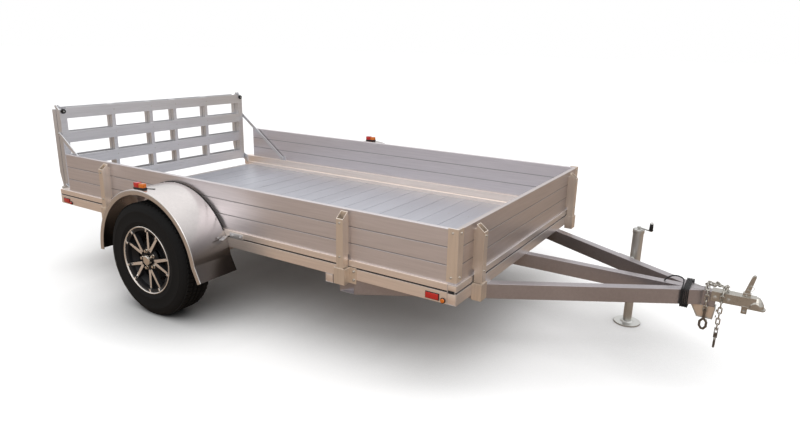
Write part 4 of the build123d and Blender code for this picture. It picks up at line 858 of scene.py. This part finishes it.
# ---- jack ----------------------------------------------------------------------------------------
# A swivel jack in zinc-plated tube, welded to a plate on the left beam. A crank on top turns the
# screw inside it, a spring pin locks the swivel, and the leg ends in a round foot.
jack_zinc = metal("zinc_jack", (0.58, 0.58, 0.56), 0.30, ALONG_Z, 0.08, bump=0.0001)
dress(jack_zinc, "jack_tube", "jack_leg", "jack_mount", "nose_bracket", width=0.0015)
BEAM_TURN = radians(30.8)
JACK_X, JACK_Y, CRANK_ALONG = 2423.01, 364.85, 84
PLATE_BOLTS_ALONG, PLATE_BOLTS_Z, NOSE_BOLTS_Z = (-36, 36), (380, 424), (308, 340)
out_way = Vector((sin(BEAM_TURN), cos(BEAM_TURN), 0))
along_way = Vector((cos(BEAM_TURN), -sin(BEAM_TURN), 0))


def by_jack(along, outward, z):
    """A point beside the jack's axis, along the beam and outward from it, in millimetres."""
    return at(JACK_X, JACK_Y, z) + along_way * along / 1000 + out_way * outward / 1000


mesh = bmesh.new()
rod(mesh, by_jack(0, 0, 566), by_jack(0, 0, 592), 32.5, 40, 3.0)
rod(mesh, by_jack(0, 0, 263), by_jack(0, 0, 274), 32.0, 40, 2.0)
rod(mesh, by_jack(0, 0, 600), by_jack(0, 0, 606), 11, 24, 1.0)
for along, out in ((22, 22), (-22, 22), (22, -22), (-22, -22)):
    bolt(mesh, by_jack(along * 0.8, out * 0.8, 592), (0, 0, 1), 3.2, 6)
piece("jack_collars", mesh, jack_zinc, "jack", "jack_steel")
mesh = bmesh.new()
rod(mesh, by_jack(CRANK_ALONG, 0, 607), by_jack(CRANK_ALONG, 0, 648), 11.5, 28, 4.0, 9.5)
rod(mesh, by_jack(CRANK_ALONG, 0, 604), by_jack(CRANK_ALONG, 0, 608), 13, 28, 1.5)
piece("jack_knob", mesh, lamp_black, "jack", "black_plastic")
mesh = bmesh.new()
rod(mesh, by_jack(0, 0, 0.3), by_jack(0, 0, 2.5), 75.5, 64, 1.0, 72.0)
rod(mesh, by_jack(0, 0, 8), by_jack(0, 0, 15), 40, 48, 2.5, 28)
piece("jack_foot_rim", mesh, jack_zinc, "jack_foot", "jack_steel")
mesh = bmesh.new()
for along in PLATE_BOLTS_ALONG:
    for z in PLATE_BOLTS_Z:
        bolt(mesh, by_jack(along, -76, z), out_way, 6.0, 6)
rod(mesh, by_jack(30, -70, 401), by_jack(30, -46, 401), 5.0, 20, 1.2)
for z in NOSE_BOLTS_Z:
    bolt(mesh, at(2897, 0, z - 3), (1, 0, 0), 5.5, 6)
piece("jack_bolts", mesh, zinc, "chassis", "zinc")

# ---- axle ----------------------------------------------------------------------------------------
# A galvanised torsion axle: a square tube with rubber cords inside, short trailing arms and saddle
# brackets, all with the mottled spangle of hot-dip zinc.
galvanised = metal("galvanised_steel", (0.34, 0.35, 0.36), 0.44, (1, 1, 1), 0.25, 0.10, 0.0002, 0.8, 0.22)
dress(galvanised, "axle_tube", "axle_arms", "axle_brackets", width=0.002)
SADDLE_BOLTS_X, TUBE_X, TUBE_Z = (104, 152), 128, 375
mesh = bmesh.new()
for side in (-1, 1):
    for x in SADDLE_BOLTS_X:
        bolt(mesh, at(x, side * 899, 331.5), (0, 0, -1), 7.0, 6)
    rod(mesh, at(TUBE_X, side * 966, TUBE_Z), at(TUBE_X, side * 971, TUBE_Z), 20, 32, 1.5)
    rod(mesh, at(0, side * 966.5, 344), at(0, side * 972, 344), 15, 6, 1.5)
piece("axle_bolts", mesh, galvanised, "chassis", "galvanised")
